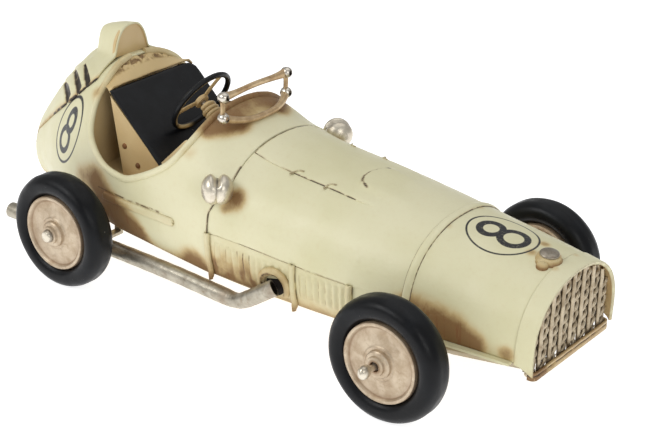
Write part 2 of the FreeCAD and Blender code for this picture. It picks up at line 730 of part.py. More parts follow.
def make_cockpit_tub():
    """Tan inside sheet: the floor and the curved wall behind the seat."""
    middle_x, side_x, half, floor_top = -84.4, -80.6, 40.0, COCKPIT_FLOOR_Z + 1.0
    floor = box((middle_x, -24.0), (-50, 50), (COCKPIT_FLOOR_Z, floor_top))
    places = ((side_x, -half), (middle_x, 0), (side_x, half))
    front = [Vector(x, y, floor_top) for x, y in places]
    rear = [point - Vector(1, 0, 0) for point in reversed(front)]
    edges = [
        Part.Arc(*front).toShape(), Part.makeLine(front[2], rear[0]),
        Part.Arc(*rear).toShape(), Part.makeLine(rear[2], front[0]),
    ]
    outline = Part.Wire(edges)
    wall = Part.Face(outline).extrude(Vector(0, 0, DECK_REAR_Z - 1.0 - floor_top))
    tub = floor.fuse(wall).common(body_core(-92, -18, SHEET + 0.15, 30.0)).cut(opening_clearance())
    return save("cockpit_tub", tub.removeSplitter())


STEERING_CENTRE = Vector(-45.0, 0, 80.0)
STEERING_AXIS = Vector(-math.cos(math.radians(30)), 0, math.sin(math.radians(30)))
STEERING_RADIUS, STEERING_TUBE = 16.0, 1.5
DECK_REAR_Z = 91.0
SEAT_TOP = Vector(-75.0, 0, 85.6)
SEAT_DIRECTION = Vector(math.cos(math.radians(41.3)), 0, -math.sin(math.radians(41.3)))
SEAT_NORMAL = Vector(math.sin(math.radians(41.3)), 0, math.cos(math.radians(41.3)))
SEAT_LENGTH = 49.0
SEAT_HALF_WIDTH = 28.0
SEAT_THICKNESS = 3.0


def make_seat_deck():
    """Rough tan deck from the top of the seat back to the foot of the headrest."""
    wires = []
    for x, share in ((-84.0, 1.0), (-80.0, 0.62), (-75.8, 0.0)):
        rows = [SEAT_HALF_WIDTH * (i / 4 - 1) * (1 - 0.14 * share) for i in range(9)]
        low = SEAT_TOP.z + 0.9
        tops = [low + (crown_at(x, y) - 0.6 - low) * share for y in rows]
        upper = [Vector(x, y, z) for y, z in zip(rows, tops)]
        lower = [p - Vector(0, 0, 1.0) for p in reversed(upper)]
        edges = [
            smooth_curve(upper),
            Part.makeLine(upper[-1], lower[0]),
            smooth_curve(lower),
            Part.makeLine(lower[-1], upper[0]),
        ]
        wires.append(Part.Wire(edges))
    deck = Part.makeLoft(wires, True, True).common(opening_tool()).cut(opening_clearance())
    return save("seat_deck", max(deck.Solids, key=lambda solid: solid.Volume))


def seat_point(along, y, above):
    """A place on the sloping seat, measured from the middle of its top edge."""
    return SEAT_TOP + SEAT_DIRECTION * along + SEAT_NORMAL * above + Vector(0, y, 0)


def make_seat():
    corners = [
        seat_point(0, -SEAT_HALF_WIDTH, -SEAT_THICKNESS),
        seat_point(SEAT_LENGTH, -SEAT_HALF_WIDTH, -SEAT_THICKNESS),
        seat_point(SEAT_LENGTH, -SEAT_HALF_WIDTH, 0),
        seat_point(0, -SEAT_HALF_WIDTH, 0),
    ]
    slab = polygon(corners).extrude(Vector(0, 2 * SEAT_HALF_WIDTH, 0))
    room = Part.makeTorus(STEERING_RADIUS, STEERING_TUBE + 0.6, STEERING_CENTRE, STEERING_AXIS)
    save("seat_slab", slab.cut(room))

    gusset_outline = [
        seat_point(1.5, 0, -SEAT_THICKNESS - 0.05), seat_point(SEAT_LENGTH - 1, 0, -SEAT_THICKNESS - 0.05),
        Vector(-41.5, 0, COCKPIT_FLOOR_Z + 1.02), Vector(-69.0, 0, COCKPIT_FLOOR_Z + 1.02),
    ]
    gussets, rivets = [], []
    for side in (-1, 1):
        y = side * (SEAT_HALF_WIDTH - 1.2) - 0.5
        gusset = polygon([p + Vector(0, y, 0) for p in gusset_outline]).extrude(Vector(0, 1.0, 0))
        for x, z in ((-67.6, 60.0), (-59.5, 52.5)):
            hole = cross_rod(x, z, 0.8, y - 1, y + 2)
            gusset = gusset.cut(hole)
            outside = y if side < 0 else y + 1.0
            rivets.append(rivet(Vector(x, outside, z), Vector(0, side, 0)))
        gussets.append(gusset)
    save("seat_gussets", *gussets)
    return save("seat_rivets", *rivets)


def rivet(place, outward):
    """A small round-headed rivet that fills a hole one millimetre deep."""
    profile = [(0, -1.0), (0.8, -1.0), (0.8, 0.0), (1.4, 0.0), (1.2, 0.5), (0.7, 0.8), (0, 0.9)]
    return turned(profile, place, outward)


def make_side_rail():
    """A thin strip inside the front right of the rim, beside the seat."""
    start, end = Vector(-38.0, -33.5, 60.5), Vector(-23.5, -31.0, 76.2)
    along = end - start
    across = Vector(0, 1, 0).cross(along).normalize() * 1.6
    outline = [start - across, end - across, end + across, start + across]
    strip = polygon(outline).extrude(Vector(0, 0.8, 0))
    strip = strip.common(body_core(-60, -20, SHEET + 0.2, 30.0)).cut(opening_clearance())
    return save("side_rail", strip)


def opening_clearance():
    """Room around the rolled rim on both sides."""
    rim = pipe(rim_path(-1), RIM_RADIUS + 0.1)
    return rim.fuse(mirrored(rim))


DASH_X, DASH_TOP = -20.8, 74.0


def make_dashboard():
    """Front wall of the cockpit, with a hole for the column tube."""
    block = box((DASH_X, DASH_X + 1.0), (-50, 50), (COCKPIT_FLOOR_Z + 1.05, DASH_TOP))
    plate = body_core(DASH_X - 8, DASH_X + 8, SHEET + 0.3, 40.0).common(block)
    tunnel = rod(STEERING_CENTRE, STEERING_CENTRE - STEERING_AXIS * 60, 3.0)
    return save("dashboard", plate.cut(tunnel))


def make_steering():
    save("steering_rim", Part.makeTorus(STEERING_RADIUS, STEERING_TUBE, STEERING_CENTRE, STEERING_AXIS))
    rotation = FreeCAD.Rotation(Vector(0, 0, 1), STEERING_AXIS)
    spindle_end = STEERING_CENTRE - STEERING_AXIS * 33.0
    spokes = Part.makeCylinder(3.6, 2.2, Vector(0, 0, -1.0))
    for angle in (90, 210, 330):
        blade = Part.makeBox(12.45, 2.6, 0.9, Vector(2.0, -1.3, -0.45))
        blade.rotate(Vector(0, 0, 0), Vector(0, 0, 1), angle)
        spokes = spokes.fuse(blade)
    spokes = spokes.cut(Part.makeCylinder(1.4, 6, Vector(0, 0, -3)))
    spokes.Placement = FreeCAD.Placement(STEERING_CENTRE, rotation)
    save("steering_spokes", spokes)
    spindle = rod(spindle_end, STEERING_CENTRE + STEERING_AXIS * 1.4, 1.4)
    save("steering_spindle", spindle)
    tube_start = STEERING_CENTRE - STEERING_AXIS * 3.0
    tube = rod(tube_start, STEERING_CENTRE - STEERING_AXIS * 32.0, 3.0)
    for i in range(5):
        coil_centre = tube_start - STEERING_AXIS * (1.3 + 2.2 * i)
        tube = tube.fuse(Part.makeTorus(3.0, 1.1, coil_centre, STEERING_AXIS))
    bore = rod(STEERING_CENTRE, STEERING_CENTRE - STEERING_AXIS * 40, 1.4 + RUNNING_CLEARANCE)
    return save("steering_column", tube.cut(bore))


# ---------------------------------------------------------------- windscreen and mirrors
SCREEN_X = -13.5
SCREEN_HALF = 21.6
SCREEN_LOW, SCREEN_HIGH = 86.0, 95.6


def make_windscreen():
    """Open frame: a straight upper rail, a lower rail bowed forward, posts and four eyes."""
    bar_radius, hole_radius = 1.2, 1.3
    profile = [
        (0, -2.4), (1.9, -2.4), (1.9, -1.3), (hole_radius, -1.3), (hole_radius, 1.3),
        (2.1, 1.3), (2.2, 2.0), (1.7, 2.9), (0.8, 3.3), (0, 3.4),
    ]
    ends = [Vector(SCREEN_X, side * SCREEN_HALF, 0) for side in (-1, 1)]
    upper = rod(ends[0] + Vector(0, 0, SCREEN_HIGH), ends[1] + Vector(0, 0, SCREEN_HIGH), bar_radius)
    bow_x = SCREEN_X + 5.0
    bow_z = crown_at(bow_x, 0) + bar_radius + 0.05
    lower_path = [
        Vector(SCREEN_X, -SCREEN_HALF, SCREEN_LOW), Vector(SCREEN_X + 2.6, -14, SCREEN_LOW - 0.6),
        Vector(bow_x, 0, bow_z), Vector(SCREEN_X + 2.6, 14, SCREEN_LOW - 0.6),
        Vector(SCREEN_X, SCREEN_HALF, SCREEN_LOW),
    ]
    frame = upper.fuse(pipe(lower_path, bar_radius))
    bolts = []
    for end in ends:
        frame = frame.fuse(rod(end + Vector(0, 0, SCREEN_LOW), end + Vector(0, 0, SCREEN_HIGH), 1.0))
        for z in (SCREEN_LOW, SCREEN_HIGH):
            centre = end + Vector(0, 0, z)
            frame = frame.fuse(Part.makeTorus(1.9, 0.9, centre, Vector(1, 0, 0)))
    for end in ends:
        for z in (SCREEN_LOW, SCREEN_HIGH):
            centre = end + Vector(0, 0, z)
            frame = frame.cut(rod(centre - Vector(5, 0, 0), centre + Vector(5, 0, 0), hole_radius))
            bolts.append(turned(profile, centre, Vector(1, 0, 0)))
    frame = frame.cut(Part.makeCompound(bolts))
    frame = frame.cut(body_core(SEAM_X - JOIN_GAP, TAIL_X, -SURFACE_GAP, 10.0))
    save("windscreen_frame", max(frame.Solids, key=lambda solid: solid.Volume))
    return save("windscreen_bolts", *bolts)


MIRROR_RADIUS = 6.6
MIRROR_OFFSET, MIRROR_DEPTH = 2.0, 5.0


def make_mirrors():
    """Round silver mirror housings, two domes back to back, on short stalks."""
    centre = Vector(1.5, -42.4, 63.7)
    dome = []
    waist_angle = math.acos(MIRROR_OFFSET / MIRROR_DEPTH)
    for i in range(10):
        angle = waist_angle + (math.pi - waist_angle) * i / 10
        dome.append((MIRROR_RADIUS * math.sin(angle), MIRROR_OFFSET - MIRROR_DEPTH * math.cos(angle)))
    profile = [(0, 0)] + dome + [(0, MIRROR_OFFSET + MIRROR_DEPTH)]
    front = turned(profile, centre, Vector(1, 0, 0))
    rear = turned(profile, centre, Vector(-1, 0, 0))
    waist = rod(centre - Vector(1.2, 0, 0), centre + Vector(1.2, 0, 0), 4.6)
    housing = front.fuse([rear, waist])
    foot = Vector(0.0, -half_width_at(0.0, 61.0) + 2.0, 61.0)
    stalk_direction = centre - foot
    stalk = Part.makeCone(2.4, 1.5, stalk_direction.Length, foot, stalk_direction)
    core = body_core(-12, 12, -SURFACE_GAP, 30.0)
    whole = housing.fuse(stalk).cut(core)
    mirror = max(whole.Solids, key=lambda solid: solid.Volume)
    save("mirror_right", mirror)
    return save("mirror_left", mirrored(mirror))


# ---------------------------------------------------------------- exhaust
EXHAUST_RADIUS = 3.75
EXHAUST_PATH = [
    Vector(-131, -41.2, 13.8), Vector(-95, -41.4, 14.4), Vector(-60, -41.7, 14.8), Vector(-25, -42.2, 14.9),
    Vector(4, -43.0, 14.4), Vector(13, -43.8, 14.9), Vector(20, -45.0, 18.0), Vector(35.5, -46.4, 29.0),
]


def make_exhaust():
    tube = pipe(EXHAUST_PATH, EXHAUST_RADIUS).cut(pipe(EXHAUST_PATH, EXHAUST_RADIUS - 0.8))
    save("exhaust_pipe", tube)
    ring = cross_rod(PORT.x, PORT.z, COLLAR_RADIUS, -44.2, -38)
    ring = ring.cut(cross_rod(PORT.x, PORT.z, COLLAR_RADIUS - 2.0, -50, -30))
    ring = ring.cut(side_strip(10, 60, 18.0, 50.0, -6.0, 6.0 + LIFT))
    ring = ring.cut(pipe(EXHAUST_PATH, EXHAUST_RADIUS + 0.2))
    save("exhaust_collar", max(ring.Solids, key=lambda solid: solid.Volume))
    hangers = []
    for x in (-84.0, -70.0):
        top_z = 14.9 + EXHAUST_RADIUS
        outline = [
            Vector(x, -43.5, top_z - 0.6), Vector(x, -31.5, top_z - 0.6), Vector(x, -31.5, PAN_Z),
            Vector(x, -33.0, PAN_Z), Vector(x, -33.0, top_z + 0.9), Vector(x, -43.5, top_z + 0.9),
        ]
        hanger = polygon(outline).extrude(Vector(4, 0, 0)).cut(pipe(EXHAUST_PATH, EXHAUST_RADIUS + 0.02))
        hangers.append(hanger)
    return save("exhaust_hangers", *hangers)


# ---------------------------------------------------------------- tail cover and headrest
# Cover sections: distance forward, height of the edge on the body, and height of the ridge.
COVER_SECTIONS = [
    (-88.2, 87.0, 96.4), (-96.0, 78.7, 96.0), (-108.0, 68.9, 92.0), (-117.0, 62.2, 84.6),
    (-125.0, 56.4, 76.4), (-138.0, 46.8, 60.8), (-147.0, 40.5, 48.6),
]
# Headrest sections: distance forward, half-width and crown height.
HEADREST_SECTIONS = [
    (-88.2, 12.0, 108.0), (-94.0, 10.8, 106.8), (-100.0, 9.2, 105.0),
    (-105.0, 7.0, 102.2), (-108.4, 3.6, 98.0),
]
COVER_POWER, HEADREST_POWER = 1.5, 2.5


def ridge_section(x, half, base, top, power, steps=6):
    """Closed arch outline across the car at x."""
    side = []
    for i in range(steps):
        angle = math.pi / 2 * i / steps
        across, up = math.cos(angle) ** (2 / power), math.sin(angle) ** (2 / power)
        side.append((half * across, base + (top - base) * up))
    right = [Vector(x, -y, z) for y, z in side]
    left = [Vector(x, y, z) for y, z in reversed(side)]
    points = right + [Vector(x, 0, top)] + left
    return Part.Wire([smooth_curve(points), Part.makeLine(points[-1], points[0])])


def make_tail_cover():
    """Ridged cover over the tail, with the headrest fairing on its front end."""
    wires = []
    for x, edge, ridge in COVER_SECTIONS:
        wires.append(ridge_section(x, half_width_at(x, edge) + 0.05, edge, ridge, COVER_POWER))
    cover = Part.makeLoft(wires, True, False)
    base = 80.0
    wires = [ridge_section(x, half, base, top, HEADREST_POWER) for x, half, top in HEADREST_SECTIONS]
    fairing = Part.makeLoft(wires, True, False)
    core = body_core(SEAM_X - JOIN_GAP, TAIL_X, -SURFACE_GAP, 10.0)
    cover = cover.fuse(fairing).cut(core)
    cover = max(cover.Solids, key=lambda solid: solid.Volume)
    recess_x, face_base, face_half, face_top = -90.2, 92.8, 11.0, 106.9
    recess = Part.Face(ridge_section(recess_x, face_half, face_base, face_top, HEADREST_POWER))
    save("tail_cover", cover.cut(recess.extrude(Vector(4, 0, 0))))
    gap = 0.2
    half, low, high = face_half - gap, face_base + gap, face_top - gap
    outline = ridge_section(recess_x + 0.05, half, low, high, HEADREST_POWER)
    plate = Part.Face(outline).extrude(Vector(1.4, 0, 0)).cut(core)
    return save("headrest_face", plate)


# ---------------------------------------------------------------- build
os.makedirs("parts", exist_ok=True)
make_nose_cowl()
make_nose_ring()
make_nose_pan()
make_nose_flanges()
make_nose_lip()
make_grille()
make_filler()
make_bonnet_shell()
make_bonnet_strap()
make_bonnet_hatch()
make_hatch_latches()
make_louvre_panels()
make_side_ribs()
make_side_spears()
make_rear_body()
make_tail_cover()
make_floor_pan()
make_cockpit_tub()
make_seat_deck()
make_seat()
make_side_rail()
make_dashboard()
make_steering()
make_windscreen()
make_mirrors()
make_exhaust()
make_wheels()
make_front_axle()
make_front_brackets()
make_rear_axle()
make_motor()
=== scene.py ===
import json
import math

import bpy
import numpy as np
from mathutils import Matrix, Vector, noise


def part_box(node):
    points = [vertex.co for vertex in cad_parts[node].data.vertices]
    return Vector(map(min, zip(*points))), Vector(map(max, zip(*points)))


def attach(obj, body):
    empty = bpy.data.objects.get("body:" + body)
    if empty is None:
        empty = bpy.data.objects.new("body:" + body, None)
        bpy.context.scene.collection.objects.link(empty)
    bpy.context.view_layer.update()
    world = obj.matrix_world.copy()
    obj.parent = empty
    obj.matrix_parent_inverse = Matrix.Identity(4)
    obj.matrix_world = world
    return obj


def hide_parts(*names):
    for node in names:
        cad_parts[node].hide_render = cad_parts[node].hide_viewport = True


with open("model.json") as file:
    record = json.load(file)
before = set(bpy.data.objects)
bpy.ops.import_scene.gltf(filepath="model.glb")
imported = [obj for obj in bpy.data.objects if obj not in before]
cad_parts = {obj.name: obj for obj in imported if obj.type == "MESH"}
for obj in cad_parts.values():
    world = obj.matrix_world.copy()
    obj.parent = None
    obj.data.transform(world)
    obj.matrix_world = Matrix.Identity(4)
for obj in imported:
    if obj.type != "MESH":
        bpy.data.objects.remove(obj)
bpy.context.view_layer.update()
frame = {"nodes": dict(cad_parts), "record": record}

# Aged tin racing car. Lengths are in millimetres until a mesh is made; +X is the nose, +Y the
# car's left and +Z up. Piece positions come from the CAD frame or from the body surface below.

MM = 0.001
GRID = 0.8          # spacing of the points on the body sheets
SHEET = 1.1         # thickness of the body sheets
RIGHT, LEFT = -1, 1


def cad_box(node):
    """Lowest and highest corner of a CAD node, in millimetres."""
    low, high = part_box(node)
    return np.array(low) / MM, np.array(high) / MM


RING_X, NOSE_X = cad_box("nose_ring")[0][0], cad_box("nose_ring")[1][0]
SEAM_X, SEAM_TOP_X = -3.5, 3.5          # the seam of bonnet and cockpit shell, below and above
SEAM_LOW_Z, SEAM_HIGH_Z = 51.0, 65.0    # heights between which the seam leans forward
TAIL_X = -NOSE_X
STRAP_X = cad_box("bonnet_shell")[1][0]
FRONT_WHEEL = (cad_box("front_right_tyre")[0] + cad_box("front_right_tyre")[1]) / 2
REAR_WHEEL = (cad_box("rear_right_tyre")[0] + cad_box("rear_right_tyre")[1]) / 2
NOSE_EDGE_Z = 28.6
CREASE_FRONT_X = 69.0
RIB_PLACES = (-3.5, 42.8, 71.2)
PORT = (33.0, 28.0)                     # forward and up: where the exhaust enters the side panel


# ---------------------------------------------------------------- body surface
# Distance forward, lower edge height, half-width there, height of the widest place, half-width
# there, crown height, and the power of the arch above the widest place.
BODY_STATIONS = np.array([
    (-155.0, 23.5, 1.2, 28.0, 1.8, 31.0, 2.0),
    (-146.0, 20.5, 6.8, 32.0, 9.8, 46.0, 2.0),
    (-131.0, 23.0, 14.9, 36.5, 19.2, 64.0, 2.2),
    (-110.0, 24.8, 25.7, 39.0, 29.9, 82.0, 2.3),
    (-85.0, 24.8, 33.8, 40.5, 38.4, 93.5, 2.4),
    (-53.0, 23.5, 38.4, 40.5, 42.8, 93.0, 2.3),
    (-18.0, 21.0, 39.2, 40.5, 43.4, 86.0, 2.25),
    (-3.0, 20.2, 39.6, 40.5, 43.4, 79.8, 2.2),
    (15.0, 20.0, 39.6, 40.0, 43.2, 75.2, 2.2),
    (55.0, 20.5, 38.6, 38.0, 41.5, 71.8, 2.2),
    (98.0, 21.5, 36.4, 36.0, 37.8, 67.0, 2.2),
    (136.0, 22.5, 32.6, 34.0, 33.6, 62.6, 2.2),
    (155.0, 23.5, 31.5, 33.0, 32.0, 59.5, 2.2),
])


def smooth_slopes(places, values):
    """Slopes of a smooth curve through the values that never overshoots them."""
    steps, rises = np.diff(places), np.diff(values) / np.diff(places)
    slopes = np.concatenate([rises[:1], rises[1:] * 0, rises[-1:]])
    for i in range(1, len(rises)):
        before, after = rises[i - 1], rises[i]
        if before * after > 0:
            near, far = 2 * steps[i] + steps[i - 1], steps[i] + 2 * steps[i - 1]
            slopes[i] = (near + far) / (near / before + far / after)
    return slopes


def smooth_values(table, x):
    """Every column of the table at each x, on a smooth curve through its rows."""
    places = table[:, 0]
    x = np.clip(np.asarray(x, float), places[0], places[-1])
    i = np.clip(np.searchsorted(places, x, side="right") - 1, 0, len(places) - 2)
    step = places[i + 1] - places[i]
    t = (x - places[i]) / step
    columns = []
    for values in table.T[1:]:
        slopes = smooth_slopes(places, values)
        start = (1 + 2 * t) * (1 - t) ** 2 * values[i] + t * (1 - t) ** 2 * step * slopes[i]
        end = t * t * (3 - 2 * t) * values[i + 1] + t * t * (t - 1) * step * slopes[i + 1]
        columns.append(start + end)
    return columns


def half_width(x, z):
    """Half-width of the body at a height."""
    low, low_half, wide, half, crown, power = smooth_values(BODY_STATIONS, x)
    below = np.clip((wide - z) / (wide - low), 0, 1.2)
    above = np.clip((z - wide) / (crown - wide), 0, 1)
    side = half - (half - low_half) * below ** 2
    return np.where(z < wide, side, half * (1 - above ** power) ** (1 / power))


def top_height(x, y):
    """Height of the body top at a place."""
    wide, half, crown, power = smooth_values(BODY_STATIONS, x)[2:]
    across = np.clip(np.abs(y) / half, 0, 1)
    return wide + (crown - wide) * (1 - across ** power) ** (1 / power)


def section(x, count, lowest=None):
    """Evenly spaced points on the body at x, from the right lower edge over the crown."""
    low, low_half, wide, half, crown, power = smooth_values(BODY_STATIONS, x)
    start = low if lowest is None else lowest
    side_z = np.linspace(start, wide, 40, endpoint=False)
    side_y = half - (half - low_half) * ((wide - side_z) / (wide - low)) ** 2
    angle = np.linspace(0, math.pi / 2, 240)
    arch_y = half * np.clip(np.cos(angle), 0, 1) ** (2 / power)
    arch_z = wide + (crown - wide) * np.sin(angle) ** (2 / power)
    y, z = np.concatenate([side_y, arch_y]), np.concatenate([side_z, arch_z])
    y, z = np.concatenate([-y, y[-2::-1]]), np.concatenate([z, z[-2::-1]])
    along = np.concatenate([[0], np.cumsum(np.hypot(np.diff(y), np.diff(z)))])
    even = np.linspace(0, along[-1], count)
    return np.stack([np.full(count, x), np.interp(even, along, y), np.interp(even, along, z)], axis=1)


def body_grid(start, end, columns, lowest=None):
    """A grid of points on the body between two places along the car."""
    rows = max(3, int(abs(end - start) / GRID) + 1)
    return np.stack([section(x, columns, lowest) for x in np.linspace(start, end, rows)])


def plan_patch(x_range, y_low, y_high, rows, columns):
    """A grid on top of the body: rows along the car, columns between two side limits."""
    x = np.linspace(*x_range, rows)[:, None] + np.zeros(columns)
    across = np.linspace(0, 1, columns)
    y = y_low(x) * (1 - across) + y_high(x) * across
    return np.stack([x, y, top_height(x, y)], axis=2)


def side_patch(x_range, z_low, z_high, rows, columns):
    """A grid on the right side of the body: columns run upward between two height limits."""
    x = np.linspace(*x_range, rows)[:, None] + np.zeros(columns)
    upward = np.linspace(0, 1, columns)
    z = z_low(x) * (1 - upward) + z_high(x) * upward
    return np.stack([x, -half_width(x, z), z], axis=2)


def outward(grid):
    """Unit normals of a grid, pointing away from the body."""
    normal = np.cross(np.gradient(grid, axis=0), np.gradient(grid, axis=1))
    length = np.linalg.norm(normal, axis=2, keepdims=True)
    return normal / np.maximum(length, 1e-9)


def noise_at(points, size, seed):
    """Smooth noise between about -1 and 1 at each point; size is the width of its waves."""
    shape = points.shape[:-1]
    flat = points.reshape(-1, 3) / size + seed
    return np.array([noise.noise(Vector(p)) for p in flat]).reshape(shape)


def wobble(grid):
    """Hand-beaten unevenness of the tin."""
    return 0.22 * noise_at(grid, 34.0, 3.7) + 0.07 * noise_at(grid, 11.0, 9.1)


def near_line(points, line, width):
    """1 on a broken line of points, falling smoothly to 0 over about the width."""
    closest = np.full(points.shape[:-1], np.inf)
    line = np.array(line, float)
    for start, end in zip(line[:-1], line[1:]):
        along = end - start
        t = np.clip(((points - start) @ along) / (along @ along), 0, 1)
        gap = np.linalg.norm(points - start - t[..., None] * along, axis=-1)
        closest = np.minimum(closest, gap)
    return np.exp(-(closest / width) ** 2)


def step_up(value, start, end):
    """0 before start, 1 after end, smooth between."""
    t = np.clip((value - start) / (end - start), 0, 1)
    return t * t * (3 - 2 * t)


# ---------------------------------------------------------------- patina
# Brown stains on the right side, mirrored to the left: x, y, z, radius and strength.
STAINS = [
    (101.0, -37.0, 40.0, 6.0, 0.45), (109.0, -36.0, 37.0, 8.0, 0.55), (119.0, -35.0, 33.5, 8.0, 0.85),
    (129.0, -34.0, 31.0, 6.0, 0.75), (143.0, -33.0, 31.5, 4.0, 0.6), (93.0, -38.0, 40.0, 4.5, 0.3),
    (8.5, -39.0, 60.0, 5.5, 0.9), (4.0, -42.0, 55.0, 3.0, 0.45),
    (-14.0, -21.0, 84.0, 7.0, 0.8), (-9.0, -14.0, 82.5, 5.0, 0.5), (-17.0, 0.0, 86.0, 11.0, 0.62),
    (-17.0, -13.0, 85.0, 8.0, 0.5), (-20.0, -24.0, 79.0, 4.6, 0.8), (-21.5, -32.0, 70.0, 4.6, 0.45),
    (-74.0, -41.0, 46.0, 8.0, 0.8), (-60.0, -41.5, 32.0, 9.0, 1.1), (-49.0, -40.5, 28.0, 7.0, 0.9),
    (-67.0, -41.0, 37.0, 7.0, 0.9), (-13.0, -40.0, 23.0, 8.0, 0.9), (-86.0, -38.0, 44.0, 6.0, 0.4),
    (-84.0, -28.0, 82.0, 4.0, 0.5), (134.6, -5.0, 61.5, 3.0, 0.6), (147.4, -8.0, 59.5, 2.2, 0.4),
    (99.5, -12.0, 66.0, 2.5, 0.35),
]


def stain_at(points):
    """How brown the paint is at each point, from 0 to about 1."""
    x, y, z = points[..., 0], points[..., 1], points[..., 2]
    total = np.zeros(x.shape)
    for sx, sy, sz, radius, strength in STAINS:
        distance = (x - sx) ** 2 + (-np.abs(y) - sy) ** 2 + (z - sz) ** 2
        total += strength * np.exp(-distance / radius ** 2)
    low = smooth_values(BODY_STATIONS, x)[0]
    total += 0.5 * np.exp(-np.clip(z - low, 0, None) / 3.4)
    strap = np.exp(-((x - STRAP_X) / 2.2) ** 2)
    total += strap * (0.04 + 0.4 * step_up(-z, -50.0, -36.0))
    return total


# ---------------------------------------------------------------- mesh building
def grid_faces(rows, columns, round_rows=False, round_columns=False):
    """Four-sided faces between neighbouring points of a grid."""
    index = np.arange(rows * columns).reshape(rows, columns)
    if round_rows:
        index = np.concatenate([index, index[:1]])
    if round_columns:
        index = np.concatenate([index, index[:, :1]], axis=1)
    corners = index[:-1, :-1], index[1:, :-1], index[1:, 1:], index[:-1, 1:]
    return np.stack(corners, axis=-1).reshape(-1, 4)


def from_grid(grid, **rounds):
    """Points and faces of one grid."""
    rows, columns = grid.shape[:2]
    return grid.reshape(-1, 3), grid_faces(rows, columns, **rounds).tolist()


def joined(shapes):
    """Several (points, faces) shapes as one."""
    points, faces, offset = [], [], 0
    for shape_points, shape_faces in shapes:
        points.append(np.asarray(shape_points, float))
        faces += [[i + offset for i in face] for face in shape_faces]
        offset += len(shape_points)
    return np.concatenate(points), faces


def flipped(shape):
    """The shape's mirror image on the other side of the car."""
    points, faces = shape
    return points * (1, -1, 1), [list(reversed(face)) for face in faces]


def both_sides(shape):
    """The shape together with its mirror image."""
    return joined([shape, flipped(shape)])


def thicken(thing, thickness, inner_material):
    """Give a sheet its thickness, inward, with its own material on the inside."""
    solid = thing.modifiers.new("thickness", "SOLIDIFY")
    solid.thickness = thickness * MM
    solid.offset = -1
    solid.material_offset = inner_material
    solid.use_even_offset = False


def piece(name, shape, look, nodes=(), body="chassis", fields=None, sharp=40, thickness=0, inside=""):
    """A mesh object from points in millimetres, in the place of the CAD nodes it names.

    Each field holds one number per point. With a thickness it becomes a sheet, whose back
    has the inside look.
    """
    points, faces = shape
    mesh = bpy.data.meshes.new(name)
    mesh.from_pydata((np.asarray(points) * MM).tolist(), [], faces)
    mesh.validate()
    mesh.update()
    for field, values in (fields or {}).items():
        attribute = mesh.attributes.new(field, "FLOAT", "POINT")
        attribute.data.foreach_set("value", np.asarray(values, np.float32).ravel())
    mesh.polygons.foreach_set("use_smooth", [True] * len(mesh.polygons))
    mesh.set_sharp_from_angle(angle=math.radians(sharp))
    thing = bpy.data.objects.new(name, mesh)
    bpy.context.collection.objects.link(thing)
    mesh.materials.append(LOOKS[look])
    if inside:
        mesh.materials.append(LOOKS[inside])
    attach(thing, body)
    if thickness:
        thicken(thing, thickness, 1 if inside else 0)
    if nodes:
        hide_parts(*nodes)


def smooth_path(points, steps):
    """Points on a smooth curve through the given ones."""
    points = np.array(points, float)
    longer = np.concatenate([2 * points[:1] - points[1:2], points, 2 * points[-1:] - points[-2:-1]])
    path = []
    for a, b, c, d in zip(longer, longer[1:], longer[2:], longer[3:]):
        for t in np.arange(steps) / steps:
            curve = 2 * b + (c - a) * t + (2 * a - 5 * b + 4 * c - d) * t ** 2
            path.append((curve + (3 * b - a - 3 * c + d) * t ** 3) / 2)
    path.append(points[-1])
    return np.array(path)


def tube(path, radius, segments, closed=False, squash=(1.0, 1.0), up=(0, 0, 1), capped=True):
    """A round or oval bar along a path. The radius may be one number or one per point."""
    path = np.asarray(path, float)
    radius = np.broadcast_to(radius, len(path))
    if closed:
        tangents = np.roll(path, -1, axis=0) - np.roll(path, 1, axis=0)
    else:
        tangents = np.gradient(path, axis=0)
    angles = np.arange(segments) * 2 * math.pi / segments
    rings = []
    side = np.cross(tangents[0], up)
    for place, tangent, size in zip(path, tangents, radius):
        tangent = tangent / np.linalg.norm(tangent)
        side = side - tangent * (side @ tangent)
        side = side / np.linalg.norm(side)
        over = np.cross(side, tangent)
        ring = np.outer(np.cos(angles) * squash[0], side)
        ring += np.outer(np.sin(angles) * squash[1], over)
        rings.append(place + ring * size)
    grid = np.array(rings)
    points, faces = from_grid(grid, round_rows=closed, round_columns=True)
    if capped and not closed:
        last = len(points) - segments
        faces += [list(range(segments)), [last + i for i in reversed(range(segments))]]
    return points, faces


def axis_frame(axis):
    """Two unit directions square to an axis, and the axis itself."""
    axis = np.array(axis, float) / np.linalg.norm(axis)
    helper = np.array([0.0, 0.0, 1.0]) if abs(axis[2]) < 0.9 else np.array([1.0, 0.0, 0.0])
    first = np.cross(helper, axis)
    first = first / np.linalg.norm(first)
    return first, np.cross(axis, first), axis


def lathe(profile, centre, axis, segments, bump=None):
    """A turned shape. The profile is (radius, distance along the axis) pairs."""
    first, second, axis = axis_frame(axis)
    angles = np.arange(segments) * 2 * math.pi / segments
    rows = []
    for radius, along in profile:
        extra = np.zeros(segments) if bump is None else bump(radius, along, angles)
        ring = np.outer(np.cos(angles), first) + np.outer(np.sin(angles), second)
        rows.append(np.array(centre) + ring * (radius + extra)[:, None] + axis * along)
    return from_grid(np.array(rows), round_columns=True)


def block(size, centre):
    """A box about its centre."""
    x, y, z = np.array(size) / 2
    points = np.array([(i, j, k) for i in (-x, x) for j in (-y, y) for k in (-z, z)])
    faces = [[0, 1, 3, 2], [4, 6, 7, 5], [0, 4, 5, 1], [2, 3, 7, 6], [0, 2, 6, 4], [1, 5, 7, 3]]
    return points + centre, faces


